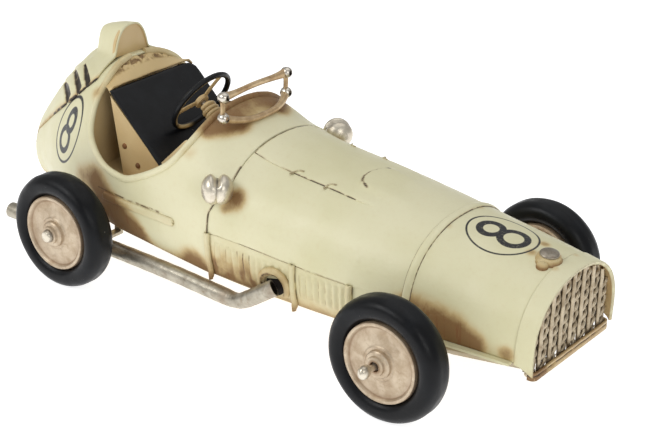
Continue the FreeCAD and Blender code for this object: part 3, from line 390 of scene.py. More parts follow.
# ---------------------------------------------------------------- material building
def colour(red, green, blue):
    """A colour given as screen values from 0 to 255, as the linear values a shader needs."""
    linear = []
    for value in (red / 255, green / 255, blue / 255):
        linear.append(value / 12.92 if value <= 0.04 else ((value + 0.055) / 1.055) ** 2.4)
    return (*linear, 1.0)


class Shader:
    """Builds one node material, step by step; every value may be a number or a node's output."""

    def __init__(self, name):
        """A new material with its main shader and object coordinates."""
        self.material = bpy.data.materials.new(name)
        self.material.use_nodes = True
        self.tree = self.material.node_tree
        self.surface = self.tree.nodes["Principled BSDF"]
        self.place = self.tree.nodes.new("ShaderNodeTexCoord").outputs["Object"]

    def put(self, value, socket):
        """Link an output, or set a plain value."""
        if isinstance(value, bpy.types.NodeSocket):
            self.tree.links.new(value, socket)
        else:
            socket.default_value = value

    def node(self, kind, values, **settings):
        """A new node with its settings and inputs."""
        made = self.tree.nodes.new("ShaderNode" + kind)
        for key, value in settings.items():
            setattr(made, key, value)
        for key, value in values.items():
            self.put(value, made.inputs[key])
        return made

    def maths(self, operation, first, second=0.0, third=0.0):
        """The result of one calculation."""
        return self.node("Math", {0: first, 1: second, 2: third}, operation=operation).outputs[0]

    def times(self, first, second):
        """First times second."""
        return self.maths("MULTIPLY", first, second)

    def plus(self, first, second):
        """First plus second."""
        return self.maths("ADD", first, second)

    def noise(self, size, detail=4.0, roughness=0.55, distortion=0.0, stretch=(1, 1, 1)):
        """Noise from 0 to 1 whose waves are about size millimetres wide."""
        place = self.node("Mapping", {"Vector": self.place, "Scale": stretch}).outputs[0]
        values = {"Vector": place, "Scale": 1 / (size * MM), "Detail": detail,
                  "Roughness": roughness, "Distortion": distortion}
        return self.node("TexNoise", values).outputs[0]

    def attribute(self, name):
        """A field of the mesh, one number per point."""
        return self.node("Attribute", {}, attribute_name=name).outputs["Fac"]

    def spread(self, value, low, high, to_low=0.0, to_high=1.0):
        """Stretch low..high to to_low..to_high, smoothly and clamped."""
        values = {"Value": value, "From Min": low, "From Max": high, "To Min": to_low, "To Max": to_high}
        return self.node("MapRange", values, interpolation_type="SMOOTHSTEP").outputs[0]

    def mix(self, factor, first, second):
        """The first colour where the factor is 0, the second where it is 1."""
        return self.node("MixRGB", {0: factor, 1: first, 2: second}).outputs[0]

    def ramp(self, value, stops):
        """Colours at stops along 0 to 1, straight between them."""
        made = self.node("ValToRGB", {0: value})
        elements = made.color_ramp.elements
        while len(elements) < len(stops):
            elements.new(0.5)
        for element, (place, shade) in zip(elements, stops):
            element.position = place
            element.color = shade
        return made.outputs[0]

    def bumps(self, layers):
        """Add up (height, depth in millimetres) layers into one bump."""
        normal = None
        for height, depth in layers:
            values = {"Height": height, "Distance": depth * MM, "Strength": 1.0}
            if normal is not None:
                values["Normal"] = normal
            normal = self.node("Bump", values).outputs[0]
        self.put(normal, self.surface.inputs["Normal"])

    def finish(self, base, roughness, metallic=0.0, **extra):
        """Connect the main shader and give the material back."""
        inputs = self.surface.inputs
        self.put(base, inputs["Base Color"])
        self.put(roughness, inputs["Roughness"])
        self.put(metallic, inputs["Metallic"])
        for name, value in extra.items():
            self.put(value, inputs[name.replace("_", " ")])
        return self.material


TAN, BROWN, DARK_BROWN = colour(202, 178, 126), colour(136, 104, 64), colour(66, 48, 30)
PRINT_BLACK = colour(28, 28, 30)
NUMBERED = "cream_enamel"       # the paint that carries the race numbers


def oval_ring(shader, across, along, centre, radii, width):
    """1 on an oval line of the given width, 0 off it."""
    u = shader.maths("DIVIDE", shader.maths("SUBTRACT", across, centre[0]), radii[0])
    v = shader.maths("DIVIDE", shader.maths("SUBTRACT", along, centre[1]), radii[1])
    squares = shader.times(u, u), shader.times(v, v)
    reach = shader.maths("SQRT", shader.plus(*squares))
    off = shader.maths("ABSOLUTE", shader.maths("SUBTRACT", reach, 1.0))
    off = shader.times(off, min(radii))
    blur = 0.15
    return shader.spread(off, width / 2 - blur, width / 2 + blur, 1.0, 0.0)


def number_eight(shader, origin, first, second, ring, loops, widths):
    """1 on a printed 8 in a ring, in the plane of two directions through an origin."""
    values = {0: shader.place, 1: tuple(np.array(origin) * MM)}
    offset = shader.node("VectorMath", values, operation="SUBTRACT").outputs[0]
    axes = []
    for direction in (first, second):
        values = {0: offset, 1: tuple(np.array(direction) / MM)}
        axes.append(shader.node("VectorMath", values, operation="DOT_PRODUCT").outputs["Value"])
    mask = oval_ring(shader, *axes, (0, 0), ring, widths[0])
    for centre, radii in loops:
        mask = shader.maths("MAXIMUM", mask, oval_ring(shader, *axes, centre, radii, widths[1]))
    return mask


def race_number(shader):
    """1 on the printed numbers: one on top of the nose and one on each side of the tail."""
    nose_loops = [((-5.6, 0), (4.7, 5.2)), ((5.2, 0), (5.6, 6.0))]
    forward, sideways = (1, 0, 0), (0, 1, 0)
    nose = number_eight(shader, (119.0, -1.5, 63.0), forward, sideways, (15.2, 14.0), nose_loops, (0.8, 2.9))
    lean = math.radians(66)
    along, over = (math.cos(lean), 0, math.sin(lean)), (-math.sin(lean), 0, math.cos(lean))
    tail_loops = [((5.8, 0.2), (5.4, 3.1)), ((-5.2, 0.2), (6.2, 3.9))]
    tail = number_eight(shader, (-99.6, -32, 60.4), along, over, (17.6, 9.2), tail_loops, (0.8, 2.1))
    place = shader.node("SeparateXYZ", {0: shader.place})
    upper = shader.maths("GREATER_THAN", place.outputs["Z"], 0.050)
    in_front = shader.maths("GREATER_THAN", place.outputs["X"], 0.0)
    nose = shader.times(nose, shader.times(upper, in_front))
    tail = shader.times(tail, shader.maths("LESS_THAN", place.outputs["X"], -0.080))
    return shader.maths("MAXIMUM", nose, tail)


def aged_paint(name, light, deep, base_stain):
    """Old enamel on tin: soft colour drift, airbrushed brown stains, painted shade and grime in folds,
    chips.
    """
    shader = Shader(name)
    base = shader.mix(shader.spread(shader.noise(60.0, 3), 0.35, 0.7), light, deep)
    base = shader.mix(shader.spread(shader.noise(2.2, 5, 0.7), 0.45, 0.85, 0.0, 0.16), base, TAN)
    stain = shader.plus(shader.attribute("stain"), base_stain)
    broken = shader.maths("MULTIPLY_ADD", shader.noise(6.0, 7, 0.65, 0.4), 0.9, 0.55)
    stain = shader.times(stain, broken)
    ramp = shader.ramp(stain, [(0.0, (0, 0, 0, 1)), (0.95, (1, 1, 1, 1))])
    base = shader.mix(shader.spread(ramp, 0.10, 0.55), base, TAN)
    base = shader.mix(shader.spread(ramp, 0.30, 0.85), base, BROWN)
    streaks = shader.noise(3.0, 6, 0.7, 0.6, (1.6, 1.6, 0.25))
    streaks, stained = shader.spread(streaks, 0.52, 0.72), shader.spread(stain, 0.3, 0.8, 0.0, 0.75)
    base = shader.mix(shader.times(streaks, stained), base, colour(126, 78, 42))
    if name == NUMBERED:
        printed = race_number(shader)
        worn = shader.spread(shader.noise(1.1, 6, 0.75), 0.34, 0.46, 0.75, 1.0)
        base = shader.mix(shader.times(printed, worn), base, PRINT_BLACK)
    chips = shader.spread(shader.noise(2.6, 8, 0.6), 0.735, 0.76)
    base = shader.mix(shader.times(chips, 0.85), base, DARK_BROWN)
    # The groove field darkens folds, gaps and slots: painted shade, with some grime.
    groove = shader.attribute("groove")
    broken_line = shader.spread(shader.noise(3.4, 4, 0.6), 0.30, 0.55, 0.35, 1.0)
    groove_dark = shader.times(groove, broken_line)
    base = shader.mix(shader.spread(groove_dark, 0.08, 0.55, 0.0, 0.7), base, BROWN)
    base = shader.mix(shader.spread(groove_dark, 0.32, 0.75), base, colour(46, 36, 24))
    rough = shader.spread(shader.noise(9.0, 5), 0.3, 0.75, 0.34, 0.5)
    rough = shader.plus(rough, shader.spread(stain, 0.1, 0.9, 0.0, 0.2))
    shader.bumps([(shader.noise(14.0, 3), 0.5), (shader.noise(1.3, 4, 0.6), 0.05), (chips, -0.06)])
    return shader.finish(base, rough, Specular_IOR_Level=0.45)


def black_enamel(name, shade, edge, roughness, grain, gloss):
    """Dark enamel or rubber with a dusty bloom and small pale chips."""
    shader = Shader(name)
    base = shader.mix(shader.spread(shader.noise(16.0, 5), 0.4, 0.75), shade, edge)
    chips = shader.spread(shader.noise(2.4, 9, 0.62), 0.7, 0.74)
    base = shader.mix(shader.times(chips, 0.55), base, colour(150, 145, 135))
    base = shader.mix(shader.attribute("stain"), base, TAN)
    rough = shader.spread(shader.noise(5.0, 5), 0.3, 0.7, *roughness)
    shader.bumps([(shader.noise(grain, 3), 0.03), (shader.noise(9.0, 3), 0.12), (chips, -0.04)])
    return shader.finish(base, rough, Specular_IOR_Level=gloss)


def old_metal(name, bright, dull, stain_amount, roughness, metallic):
    """Plated or bare metal gone dull, with brown tarnish in blotches and fine scratches."""
    shader = Shader(name)
    base = shader.mix(shader.spread(shader.noise(7.0, 6, 0.65, 0.3), 0.35, 0.7), bright, dull)
    tarnish = shader.spread(shader.noise(3.4, 8, 0.7, 0.5), 0.5, 0.78, 0.0, stain_amount)
    tarnish = shader.maths("MAXIMUM", tarnish, shader.attribute("stain"))
    base = shader.mix(tarnish, base, colour(128, 92, 58))
    # The groove field darkens: painted shade in holes, seams and inside the pipe.
    groove = shader.attribute("groove")
    base = shader.mix(groove, base, colour(36, 28, 20))
    rough = shader.spread(shader.noise(1.6, 5, 0.7), 0.3, 0.7, *roughness)
    rough = shader.plus(rough, shader.times(tarnish, 0.25))
    metal = shader.maths("MULTIPLY_ADD", tarnish, -0.6 * metallic, metallic)
    metal = shader.times(metal, shader.maths("SUBTRACT", 1.0, groove))
    scratches = shader.noise(0.7, 3, 0.5, 0.2, (1, 0.15, 1))
    shader.bumps([(shader.noise(2.2, 5, 0.65), 0.06), (scratches, 0.012)])
    return shader.finish(base, rough, metal)


# Painted looks: name, lighter and deeper colour, even browning.
PAINTS = {
    "cream": ("cream_enamel", (224, 219, 184), (214, 209, 168), 0.0),
    "cream_trim": ("cream_trim", (224, 219, 184), (214, 209, 168), 0.10),
    "tan": ("tan_undercoat", (214, 190, 142), (196, 166, 116), 0.16),
    "pan": ("shaded_pan", (176, 160, 124), (128, 114, 86), 0.22),
    "rusty": ("rusty_sheet", (200, 176, 132), (170, 136, 92), 0.12),
}
# Dark looks: name, colour, bloom, roughness, width of the grain and gloss.
DARKS = {
    "black": ("black_enamel", (9, 10, 13), (22, 24, 28), (0.3, 0.48), 0.9, 0.3),
    "rubber": ("tyre_rubber", (7, 8, 11), (15, 18, 22), (0.3, 0.46), 0.6, 0.22),
    # The umber and void looks are painted shade: the dark sheet behind the grille and the dark disc in the
    # exhaust port.
    "umber": ("painted_shade_brown", (74, 60, 40), (104, 86, 58), (0.6, 0.8), 0.9, 0.3),
    "void": ("painted_shade_dark", (24, 18, 13), (44, 34, 24), (0.7, 0.9), 0.9, 0.3),
}
# Metal looks: name, bright and dull colour, tarnish, roughness and how metallic it is.
METALS = {
    "nickel": ("old_nickel", (206, 190, 166), (176, 156, 130), 0.45, (0.34, 0.55), 0.7),
    "bright": ("bright_plate", (226, 220, 208), (196, 188, 176), 0.25, (0.16, 0.34), 1.0),
    "steel": ("dull_steel", (176, 168, 154), (134, 124, 110), 0.6, (0.3, 0.55), 1.0),
    "exhaust": ("exhaust_tin", (190, 184, 168), (150, 142, 126), 0.5, (0.3, 0.5), 0.85),
    "frame_tin": ("frame_tin", (220, 196, 156), (184, 152, 110), 0.35, (0.26, 0.45), 0.65),
    "grille": ("grille_tin", (196, 182, 156), (150, 134, 108), 0.7, (0.3, 0.5), 0.7),
    "mirror": ("mirror_shell", (226, 218, 200), (196, 186, 168), 0.25, (0.26, 0.4), 0.9),
    "rust": ("rusty_rivet", (150, 104, 62), (110, 76, 46), 0.9, (0.5, 0.7), 0.3),
}
LOOKS = {}
for make_look, table in ((aged_paint, PAINTS), (black_enamel, DARKS), (old_metal, METALS)):
    for look, (name, first, second, *rest) in table.items():
        LOOKS[look] = make_look(name, colour(*first), colour(*second), *rest)

# The look of each CAD material slot, and of two CAD nodes that have their own.
SLOT_LOOKS = {
    "cream_paint": "cream_trim", "tan_undercoat": "tan", "black_paint": "black", "black_rubber": "rubber",
    "nickel_plate": "nickel", "bright_plate": "bright", "bare_steel": "steel", "grey_tinplate": "exhaust",
}
NODE_LOOKS = {"nose_pan": "pan", "seat_rivets": "rust"}


def dress_frame():
    """Give every CAD node the aged version of its own finish."""
    for entry in frame["record"]["subparts"]:
        materials = frame["nodes"][entry["node"]].data.materials
        materials.clear()
        look = NODE_LOOKS.get(entry["node"], SLOT_LOOKS[entry["material_slot"]])
        materials.append(LOOKS[look])


# ---------------------------------------------------------------- body sheets
def body_sheet(name, grid, lift=0.0, grooves=None, keep=None, nodes=(), thickness=SHEET):
    """A painted sheet on the body surface with its stains, dark lines of painted shade and grime, and
    thickness.
    """
    normal = outward(grid)
    raised = grid + normal * (wobble(grid) + lift)[..., None]
    # Darkened lines along folds, seams and edges: painted shade.
    shade_and_dirt = np.zeros(grid.shape[:2])
    for line, width, strength in grooves or []:
        shade_and_dirt = np.maximum(shade_and_dirt, strength * near_line(grid, line, width))
    points, faces = from_grid(raised)
    if keep is not None:
        centres = points[np.array(faces)].mean(axis=1)
        faces = [face for face, stays in zip(faces, keep(centres)) if stays]
    fields = {"stain": stain_at(grid), "groove": shade_and_dirt}
    piece(name, (points, faces), "cream", nodes, fields=fields, thickness=thickness,
          inside="tan")


def crease_height(x):
    """Height of the folded line along the bonnet side."""
    return 42.4 - 2.3 * step_up(x, 5.0, CREASE_FRONT_X) - 0.6 * np.exp(-((x + 4.0) / 5.0) ** 2)


def on_top(points):
    """Plan-view points as a line on the body surface."""
    return [(x, y, float(top_height(x, y))) for x, y in points]


def on_side(places):
    """Side-view points as a line on the right side of the body."""
    return [(float(x), -float(half_width(x, z)), z) for x, z in places]


def mirrored(line):
    """A line of points on the other side of the car."""
    return [(x, -y, z) for x, y, z in line]


def scoop_height(x, y):
    """Share of the low pressed scoop that runs forward over the lid and the bonnet."""
    edge_x = 52.2 + 0.045 * np.abs(y + 3.0) ** 1.75
    rise = step_up(x, edge_x - 0.4, edge_x + 0.5)
    return rise * step_up(-x, -82.0, -edge_x) * step_up(-np.abs(y + 2), -13.5, -8.0)


SCOOP_EDGE = on_top([(58.5, -12.6), (54.4, -10.4), (52.4, -7.0), (52.0, -2.0), (53.2, 4.8), (56.0, 7.0)])
SCOOP_RISE = 0.85


def seam_at(z):
    """Distance forward of the seam of bonnet and cockpit shell; it leans forward half-way up."""
    return SEAM_X + (SEAM_TOP_X - SEAM_X) * np.clip((z - SEAM_LOW_Z) / (SEAM_HIGH_Z - SEAM_LOW_Z), 0, 1)


def leaned(grid, fixed_x):
    """Shift a sheet's columns so that its edge at the seam follows the seam; fixed_x stays."""
    x, y, z = grid[..., 0], grid[..., 1], grid[..., 2]
    share = np.clip((x - fixed_x) / (SEAM_X - fixed_x), 0, 1)
    moved = x + share * (seam_at(z) - SEAM_X)
    arch = z > 45.0
    old_side, new_side = half_width(x, z), half_width(moved, z)
    crown_change = top_height(moved, y) - top_height(x, y)
    steep = step_up(np.abs(y), 20.0, 30.0)
    shifted_y = y * np.where(arch, 1 + steep * (new_side / np.maximum(old_side, 1.0) - 1), 1.0)
    shifted_z = z + np.where(arch, (1 - steep) * crown_change, 0.0)
    return np.stack([moved, shifted_y, shifted_z], axis=2)


def make_bonnet():
    """Bonnet sheet with its folded side, the scoop, one dent and pitted paint near the front."""
    grid = leaned(body_grid(SEAM_X + 0.1, STRAP_X, 240), 30.0)
    x, y, z = grid[..., 0], grid[..., 1], grid[..., 2]
    recess = -0.55 * step_up(crease_height(x) - z, -0.1, 0.6)
    dent = -0.3 * near_line(grid, [(33.0, -41.0, 51.0), (40.0, -40.5, 53.5), (47.0, -39.0, 57.5)], 1.6)
    pits = 0.35 * step_up(noise_at(grid, 1.6, 5.0), 0.25, 0.6)
    pits = pits * np.exp(-((x - 76) / 9) ** 2 - ((z - 50) / 6) ** 2)
    lift = recess + SCOOP_RISE * scoop_height(x, y) + dent + pits
    crease = on_side([(place, float(crease_height(place)) - 0.3) for place in (-3.5, 20.0, 45.0, 69.0)])
    # The scoop's edge and the fold are darkened: painted shade.
    grooves = [(SCOOP_EDGE, 0.6, 0.75), (crease, 0.5, 0.6), (mirrored(crease), 0.5, 0.6)]
    body_sheet("bonnet", grid, lift, grooves, nodes=("bonnet_shell",))


def make_lid():
    """Raised lid over the engine: its rear edge stands clear and its front fades into the bonnet."""
    rear, front, half, height = 3.9, 74.0, 20.6, 0.62
    side = lambda x: half - 1.2 * step_up(x, 55.0, front)
    grid = plan_patch((rear, front), lambda x: -side(x), side, 90, 64)
    x, y = grid[..., 0], grid[..., 1]
    fade = step_up(x, 60.0, front)
    rounded = -0.35 * step_up(np.abs(y) - side(x), -1.2, 0.0) - 0.2 * step_up(rear + 1.2 - x, 0.0, 1.2)
    scoop = SCOOP_RISE * scoop_height(x, y) * (1 - step_up(x, 66.0, 72.0))
    rim = [on_top([(rear, -half), (rear, -half / 2), (rear, 0), (rear, half / 2), (rear, half)])]
    rim += [on_top([(place, end * half) for place in (rear, 30, 58)]) for end in (RIGHT, LEFT)]
    # The lid's edges and the scoop's edge are darkened: painted shade.
    grooves = [(line, 0.6, 0.8) for line in rim] + [(SCOOP_EDGE, 0.6, 0.85)]
    lift = height - fade + rounded + scoop
    body_sheet("bonnet_lid", grid, lift, grooves, nodes=("bonnet_hatch",), thickness=0.6)


def make_latches():
    """Little bent wire latches across the lid's edge."""
    shapes = []
    for x, turn in ((24.8, 0.4), (43.0, -0.5)):
        for side in (RIGHT, LEFT):
            foot, knee = (x, side * 22.2), (x + 1.6 + turn, side * 19.0)
            tip = (x + 4.2 + turn, side * 18.2)
            path = [(px, py, float(top_height(px, py)) + 0.75) for px, py in (foot, knee, tip)]
            shapes.append(tube(smooth_path(path, 5), 0.42, 8))
    points, faces = joined(shapes)
    piece("lid_latches", (points, faces), "cream_trim", ["hatch_latches"],
          fields={"groove": np.full(len(points), 0.45)})


def make_band():
    """Rounded raised band over the bonnet's front joint."""
    half = 2.0
    rows = 11
    x_values = STRAP_X + np.linspace(-half, half, rows)
    grid = np.stack([section(x, 240) for x in x_values])
    lift = 1.15 * np.sqrt(np.clip(1 - (np.linspace(-1, 1, rows) * 0.98) ** 2, 0, 1))[:, None] - 0.15
    lift = lift + 0.12 * noise_at(grid, 6.0, 2.0)
    normal = outward(grid)
    raised = grid + normal * (wobble(grid) + lift)[..., None]
    edge = np.abs(np.linspace(-1, 1, rows))[:, None] + 0 * lift
    low_end = step_up(-grid[..., 2], -46.0, -34.0)
    stain = 0.05 + 0.22 * edge ** 3 + 0.5 * low_end
    # Dark band edges: painted shade where the band meets the bonnet.
    fields = {"stain": stain, "groove": 0.85 * step_up(edge, 0.74, 0.98)}
    piece("bonnet_band", from_grid(raised), "cream", ["bonnet_strap"], fields=fields,
          inside="tan")


def make_nose():
    """Nose sheet with one soft ridge just behind the collar."""
    grid = body_grid(STRAP_X, RING_X, 220, NOSE_EDGE_Z)
    line = [(RING_X - 2.2, 8.0), (RING_X - 2.6, -4.0), (RING_X - 3.2, -14.0), (RING_X - 2.4, -24.0)]
    lift = 0.12 * near_line(grid, on_top(line), 1.2)
    body_sheet("nose_cowl_sheet", grid, lift, nodes=("nose_cowl",))


def make_nose_collar():
    """Plain collar round the grille opening."""
    rows = []
    for ahead in np.linspace(0, 1, 13):
        lowest = 24.0 + 3.6 * (1 - ahead ** 1.8)
        rows.append(section(RING_X - 0.4 + ahead * (NOSE_X - RING_X + 0.3), 220, lowest))
    grid = np.stack(rows)
    x = grid[..., 0]
    lift = 0.45 - 0.25 * step_up(x, NOSE_X - 1.0, NOSE_X)
    edge = [tuple(p) for p in grid[-1, ::12]]
    body_sheet("nose_collar", grid, lift, [(edge, 0.5, 0.3)], nodes=("nose_ring",), thickness=1.6)


# Side view of the cockpit opening, from the cowl edge down and back up to the deck.
OPENING_SIDE = [
    (-20.5, 88.0), (-22.9, 76.0), (-31.0, 64.2), (-49.3, 54.0), (-59.5, 52.9),
    (-70.5, 55.8), (-79.3, 64.2), (-82.0, 76.0), (-82.3, 87.0), (-85.0, 94.0),
]


def inside_opening(points):
    """True for points inside the cockpit opening, seen from the side."""
    outline = smooth_path(OPENING_SIDE, 10)
    outline = np.concatenate([outline, [(-85.0, 140.0), (-20.5, 140.0)]])
    x, z = points[..., 0], points[..., 2]
    inside = np.zeros(x.shape, bool)
    for (x1, z1), (x2, z2) in zip(outline, np.roll(outline, -1, axis=0)):
        crosses = (z1 > z) != (z2 > z)
        with np.errstate(divide="ignore", invalid="ignore"):
            at = (x2 - x1) * (z - z1) / (z2 - z1) + x1
        inside ^= crosses & (x < at)
    return inside


def make_rear_body():
    """Rear body sheet from the seam to the pointed tail, with the cockpit opening cut out."""
    grid = body_grid(TAIL_X, SEAM_X - 0.1, 270)
    grid[0] = grid[0].mean(axis=0)
    grid[0, :, 0] = TAIL_X
    grid = leaned(grid, -22.0)
    x, z = grid[..., 0], grid[..., 2]
    seam = [(x - 0.3, y, z) for x, y, z in on_side([(seam_at(z), z) for z in np.linspace(36.0, 70.0, 12)])]
    lift = 0.35 * step_up(x - seam_at(z), -2.6, -0.6) * step_up(z, 34, 40)
    blade = on_side([(place, 43.2) for place in (-72.0, -60.0, -50.0, -40.0, -32.0)])
    # The seam and the line above each blade are darkened: painted shade.
    grooves = [(seam, 0.5, 0.7), (blade, 0.6, 0.66), (mirrored(blade), 0.6, 0.66)]
    body_sheet("rear_body", grid, lift, grooves, lambda p: ~inside_opening(p), ("rear_body_shell",))


def rim_points():
    """The right edge of the cockpit opening, on the body surface."""
    points = []
    for x, z in smooth_path(OPENING_SIDE, 6):
        z = min(z, float(top_height(x, 0)) - 0.15)
        points.append((x, -float(half_width(x, z)), z))
    return points


def make_rim():
    """Rolled bead round the cockpit opening."""
    radius = 1.55
    edge = rim_points()[1:]
    x, corner_y, _ = edge[0]
    side = smooth_path(edge, 2)
    front = [(x, y, float(top_height(x, y)) - 0.1) for y in np.linspace(corner_y, -corner_y, 15)]
    shape = joined([tube(path, radius, 16) for path in (side, side * (1, -1, 1), front)])
    points = shape[0]
    stain = stain_at(points) * 0.8 + 0.05 + 0.2 * step_up(points[:, 2], 80, 92)
    piece("cockpit_rim", shape, "cream_trim", fields={"stain": stain})


# ---------------------------------------------------------------- wheels
def make_tyre(name, centre, body, node):
    """Smooth balloon tyre, flattened a little on its tread and cut off at the bead next to the disc."""
    half, middle, half_height, power, bead, steps, segments = 7.0, 21.9, 5.1, 2.3, 17.42, 48, 128
    profile = []
    for i in range(steps):
        angle = 2 * math.pi * i / steps
        across, along = math.cos(angle), math.sin(angle)
        radius = middle + half_height * math.copysign(abs(across) ** (2 / power), across)
        radius -= 0.12 if across > 0.97 else 0.0
        profile.append((max(radius, bead), half * math.copysign(abs(along) ** (2 / power), along)))
    worn = lambda radius, along, angles: -0.05 * (1 + np.sin(angles * 7 + along)) * (radius > 24)
    points = lathe(profile, centre, (0, 1, 0), segments, worn)[0]
    faces = grid_faces(steps, segments, True, True).tolist()
    piece(name, (points, faces), "rubber", [node], body)


# Half sections of the wheel disc and its boss: radius and distance out from the wheel's middle.
DISC_PROFILE = [
    (4.1, 6.2), (7.2, 6.1), (7.6, 5.7), (8.2, 5.5), (11.2, 5.35), (11.6, 5.15), (14.6, 5.0),
    (15.1, 5.15), (15.5, 5.7), (16.0, 6.25), (16.7, 6.45), (17.2, 6.2), (17.4, 5.4), (17.4, 0.1),
    (16.3, 0.1), (15.2, 4.0), (4.1, 4.6), (4.1, 6.2),
]
BOSS_PROFILE = [
    (2.15, 9.3), (3.3, 9.3), (3.9, 9.0), (4.2, 8.0), (5.4, 7.8), (5.9, 7.3), (6.1, 6.0), (4.1, 5.6),
    (4.1, -5.6), (5.6, -6.0), (5.6, -8.0), (2.15, -8.0), (2.15, 9.3),
]
# Rings of painted shade on the disc's steps and round its boss: radius, width and strength.
DISC_SHADE_RINGS = [(15.1, 0.5, 0.55), (6.6, 0.5, 0.35), (17.4, 0.3, 0.5)]


def make_disc(name, centre, side, body, nodes):
    """Pressed wheel disc with a raised rim, a shallow step and a boss round the axle."""
    axis = (0, side, 0)
    dents = lambda radius, along, angles: 0.05 * np.sin(angles * 5 + radius)
    inner = [(radius, -place) for radius, place in DISC_PROFILE]
    shapes = [lathe(DISC_PROFILE, centre, axis, 96, dents), lathe(inner, centre, axis, 96)]
    shapes.append(lathe(BOSS_PROFILE, centre, axis, 64))
    points, faces = joined(shapes)
    radius = np.hypot(points[:, 0] - centre[0], points[:, 2] - centre[2])
    # The axle bore and the rings are darkened: painted shade.
    shade_and_dirt = 0.8 * (radius < 2.6)
    for ring, width, strength in DISC_SHADE_RINGS:
        shade_and_dirt = shade_and_dirt + strength * np.exp(-((radius - ring) / width) ** 2)
    fields = {"stain": np.clip(shade_and_dirt, 0, 0.8)}
    piece(name, (points, faces), "nickel", nodes, body, fields, 30)


def make_wheels():
    """Four wheels; the rear pair rides on one body."""
    for end, centre in (("front", FRONT_WHEEL), ("rear", REAR_WHEEL)):
        for word, side in (("right", RIGHT), ("left", LEFT)):
            name = end + "_" + word
            body = "rear_wheels" if end == "rear" else name + "_wheel"
            place = centre * (1, -side, 1)
            make_tyre(name + "_tyre_skin", place, body, name + "_tyre")
            make_disc(name + "_disc_skin", place, side, body, [name + "_wheel_discs", name + "_hub"])


# ---------------------------------------------------------------- axle ends and body side trim
def make_front_axle():
    """The front axle with its pinched ends: a thin neck and a flattened paddle outside each hub."""
    x, z = FRONT_WHEEL[[0, 2]]
    outer, rise, paddle_half = -78.2, 0.5, 3.3
    neck_y = np.linspace(-66.0, outer + 3.4, 12)
    neck = tube([(x, y, z + rise * step_up(-y, 68, 74)) for y in neck_y], 1.35, 16, up=(1, 0, 0))
    profile = [(0, -3.3), (1.5, -2.9), (2.4, -1.8), (2.7, 0), (2.4, 1.6), (1.5, 2.6), (0, 3.1)]
    points, faces = lathe(profile, (0, 0, 0), (0, 1, 0), 32)
    paddle = points * (0.85, 1.0, 1.1) + (x, outer + paddle_half, z + rise), faces
    piece("axle_paddles", both_sides(joined([neck, paddle])), "mirror")
    bar = tube([(x, y, z) for y in np.linspace(-67.0, 67.0, 30)], 2.0, 32, up=(1, 0, 0))
    piece("front_axle_bar", bar, "steel", ["front_axle"])


def make_rear_axle_heads():
    """Flat riveted heads on the ends of the rear axle."""
    x, z = REAR_WHEEL[[0, 2]]
    end = cad_box("rear_axle")[1][1]
    profile = [(0, end), (2.1, end), (2.5, end - 0.3), (2.6, end - 1.6), (1.9, end - 2.2), (0, end - 2.2)]
    head = lathe(profile, (x, 0, z), (0, -1, 0), 40)
    piece("rear_axle_heads", both_sides(head), "mirror", body="rear_wheels", sharp=50)


def level_patch(x_range, z_range, rows, columns):
    """A grid on the right side of the body between two heights."""
    low, high = z_range
    return side_patch(x_range, lambda x: low + 0 * x, lambda x: high + 0 * x, rows, columns)


def make_side_panels():
    """Pressed panels of upright louvres below the bonnet's fold, painted shade and rust running down between
    them.
    """
    pitch, low_z, port_x, port_z = 3.3, 21.0, PORT[0], PORT[1]
    panel_low, panel_high = lambda x: low_z + 0 * x, lambda x: crease_height(np.maximum(x, -3.5)) - 0.5
    for name, side in (("right", RIGHT), ("left", LEFT)):
        grid = side_patch((-3.4, CREASE_FRONT_X + 1.5), panel_low, panel_high, 250, 44)
        x, z = grid[..., 0], grid[..., 2]
        phase = (x / pitch) % 1.0
        ridge = np.clip(1 - np.abs(phase - 0.42) / 0.42, 0, 1) ** 0.7
        length = step_up(z, 25.0, 27.5) * step_up(-z, -39.2, -37.2)
        plain = np.max([np.exp(-((x - rib) / 2.6) ** 4) for rib in RIB_PLACES], axis=0)
        port = np.exp(-(((x - port_x) ** 2 + (z - port_z) ** 2) / 74.0) ** 3) * (side == RIGHT)
        louvre = length * (1 - plain) * (1 - port)
        rear_drop = -1.2 * step_up(-x, 3.0, 4.5) * step_up(z, 30, 33)
        lift = -0.25 + 0.7 * ridge * louvre + 0.25 * noise_at(grid, 3.0, 8.0) * louvre + rear_drop
        # slit: painted shade in the slits between louvres, deepened by rust toward the rear.
        slit = np.exp(-((phase - 0.97) / 0.09) ** 2) + np.exp(-((phase + 0.03) / 0.09) ** 2)
        rust = step_up(noise_at(grid * (1, 1, 0.35), 4.5, 6.0), -0.15, 0.55)
        rear_share = step_up(-x, -36.0, -10.0)
        shade_and_dirt = np.clip(slit * louvre * (0.30 + 0.7 * rust * (0.3 + 0.7 * rear_share)), 0, 1)
        stain = stain_at(grid) + 0.10 + (0.5 * rust + 0.18) * rear_share * step_up(-z, -40.0, -27.0)
        shape = from_grid(grid + outward(grid) * (wobble(grid) + lift)[..., None])
        shape = shape if side == RIGHT else flipped(shape)
        fields = {"stain": stain, "groove": shade_and_dirt}
        piece("side_louvres_" + name, shape, "cream_trim", ["louvre_panel_" + name],
              fields=fields, thickness=0.5, inside="tan")


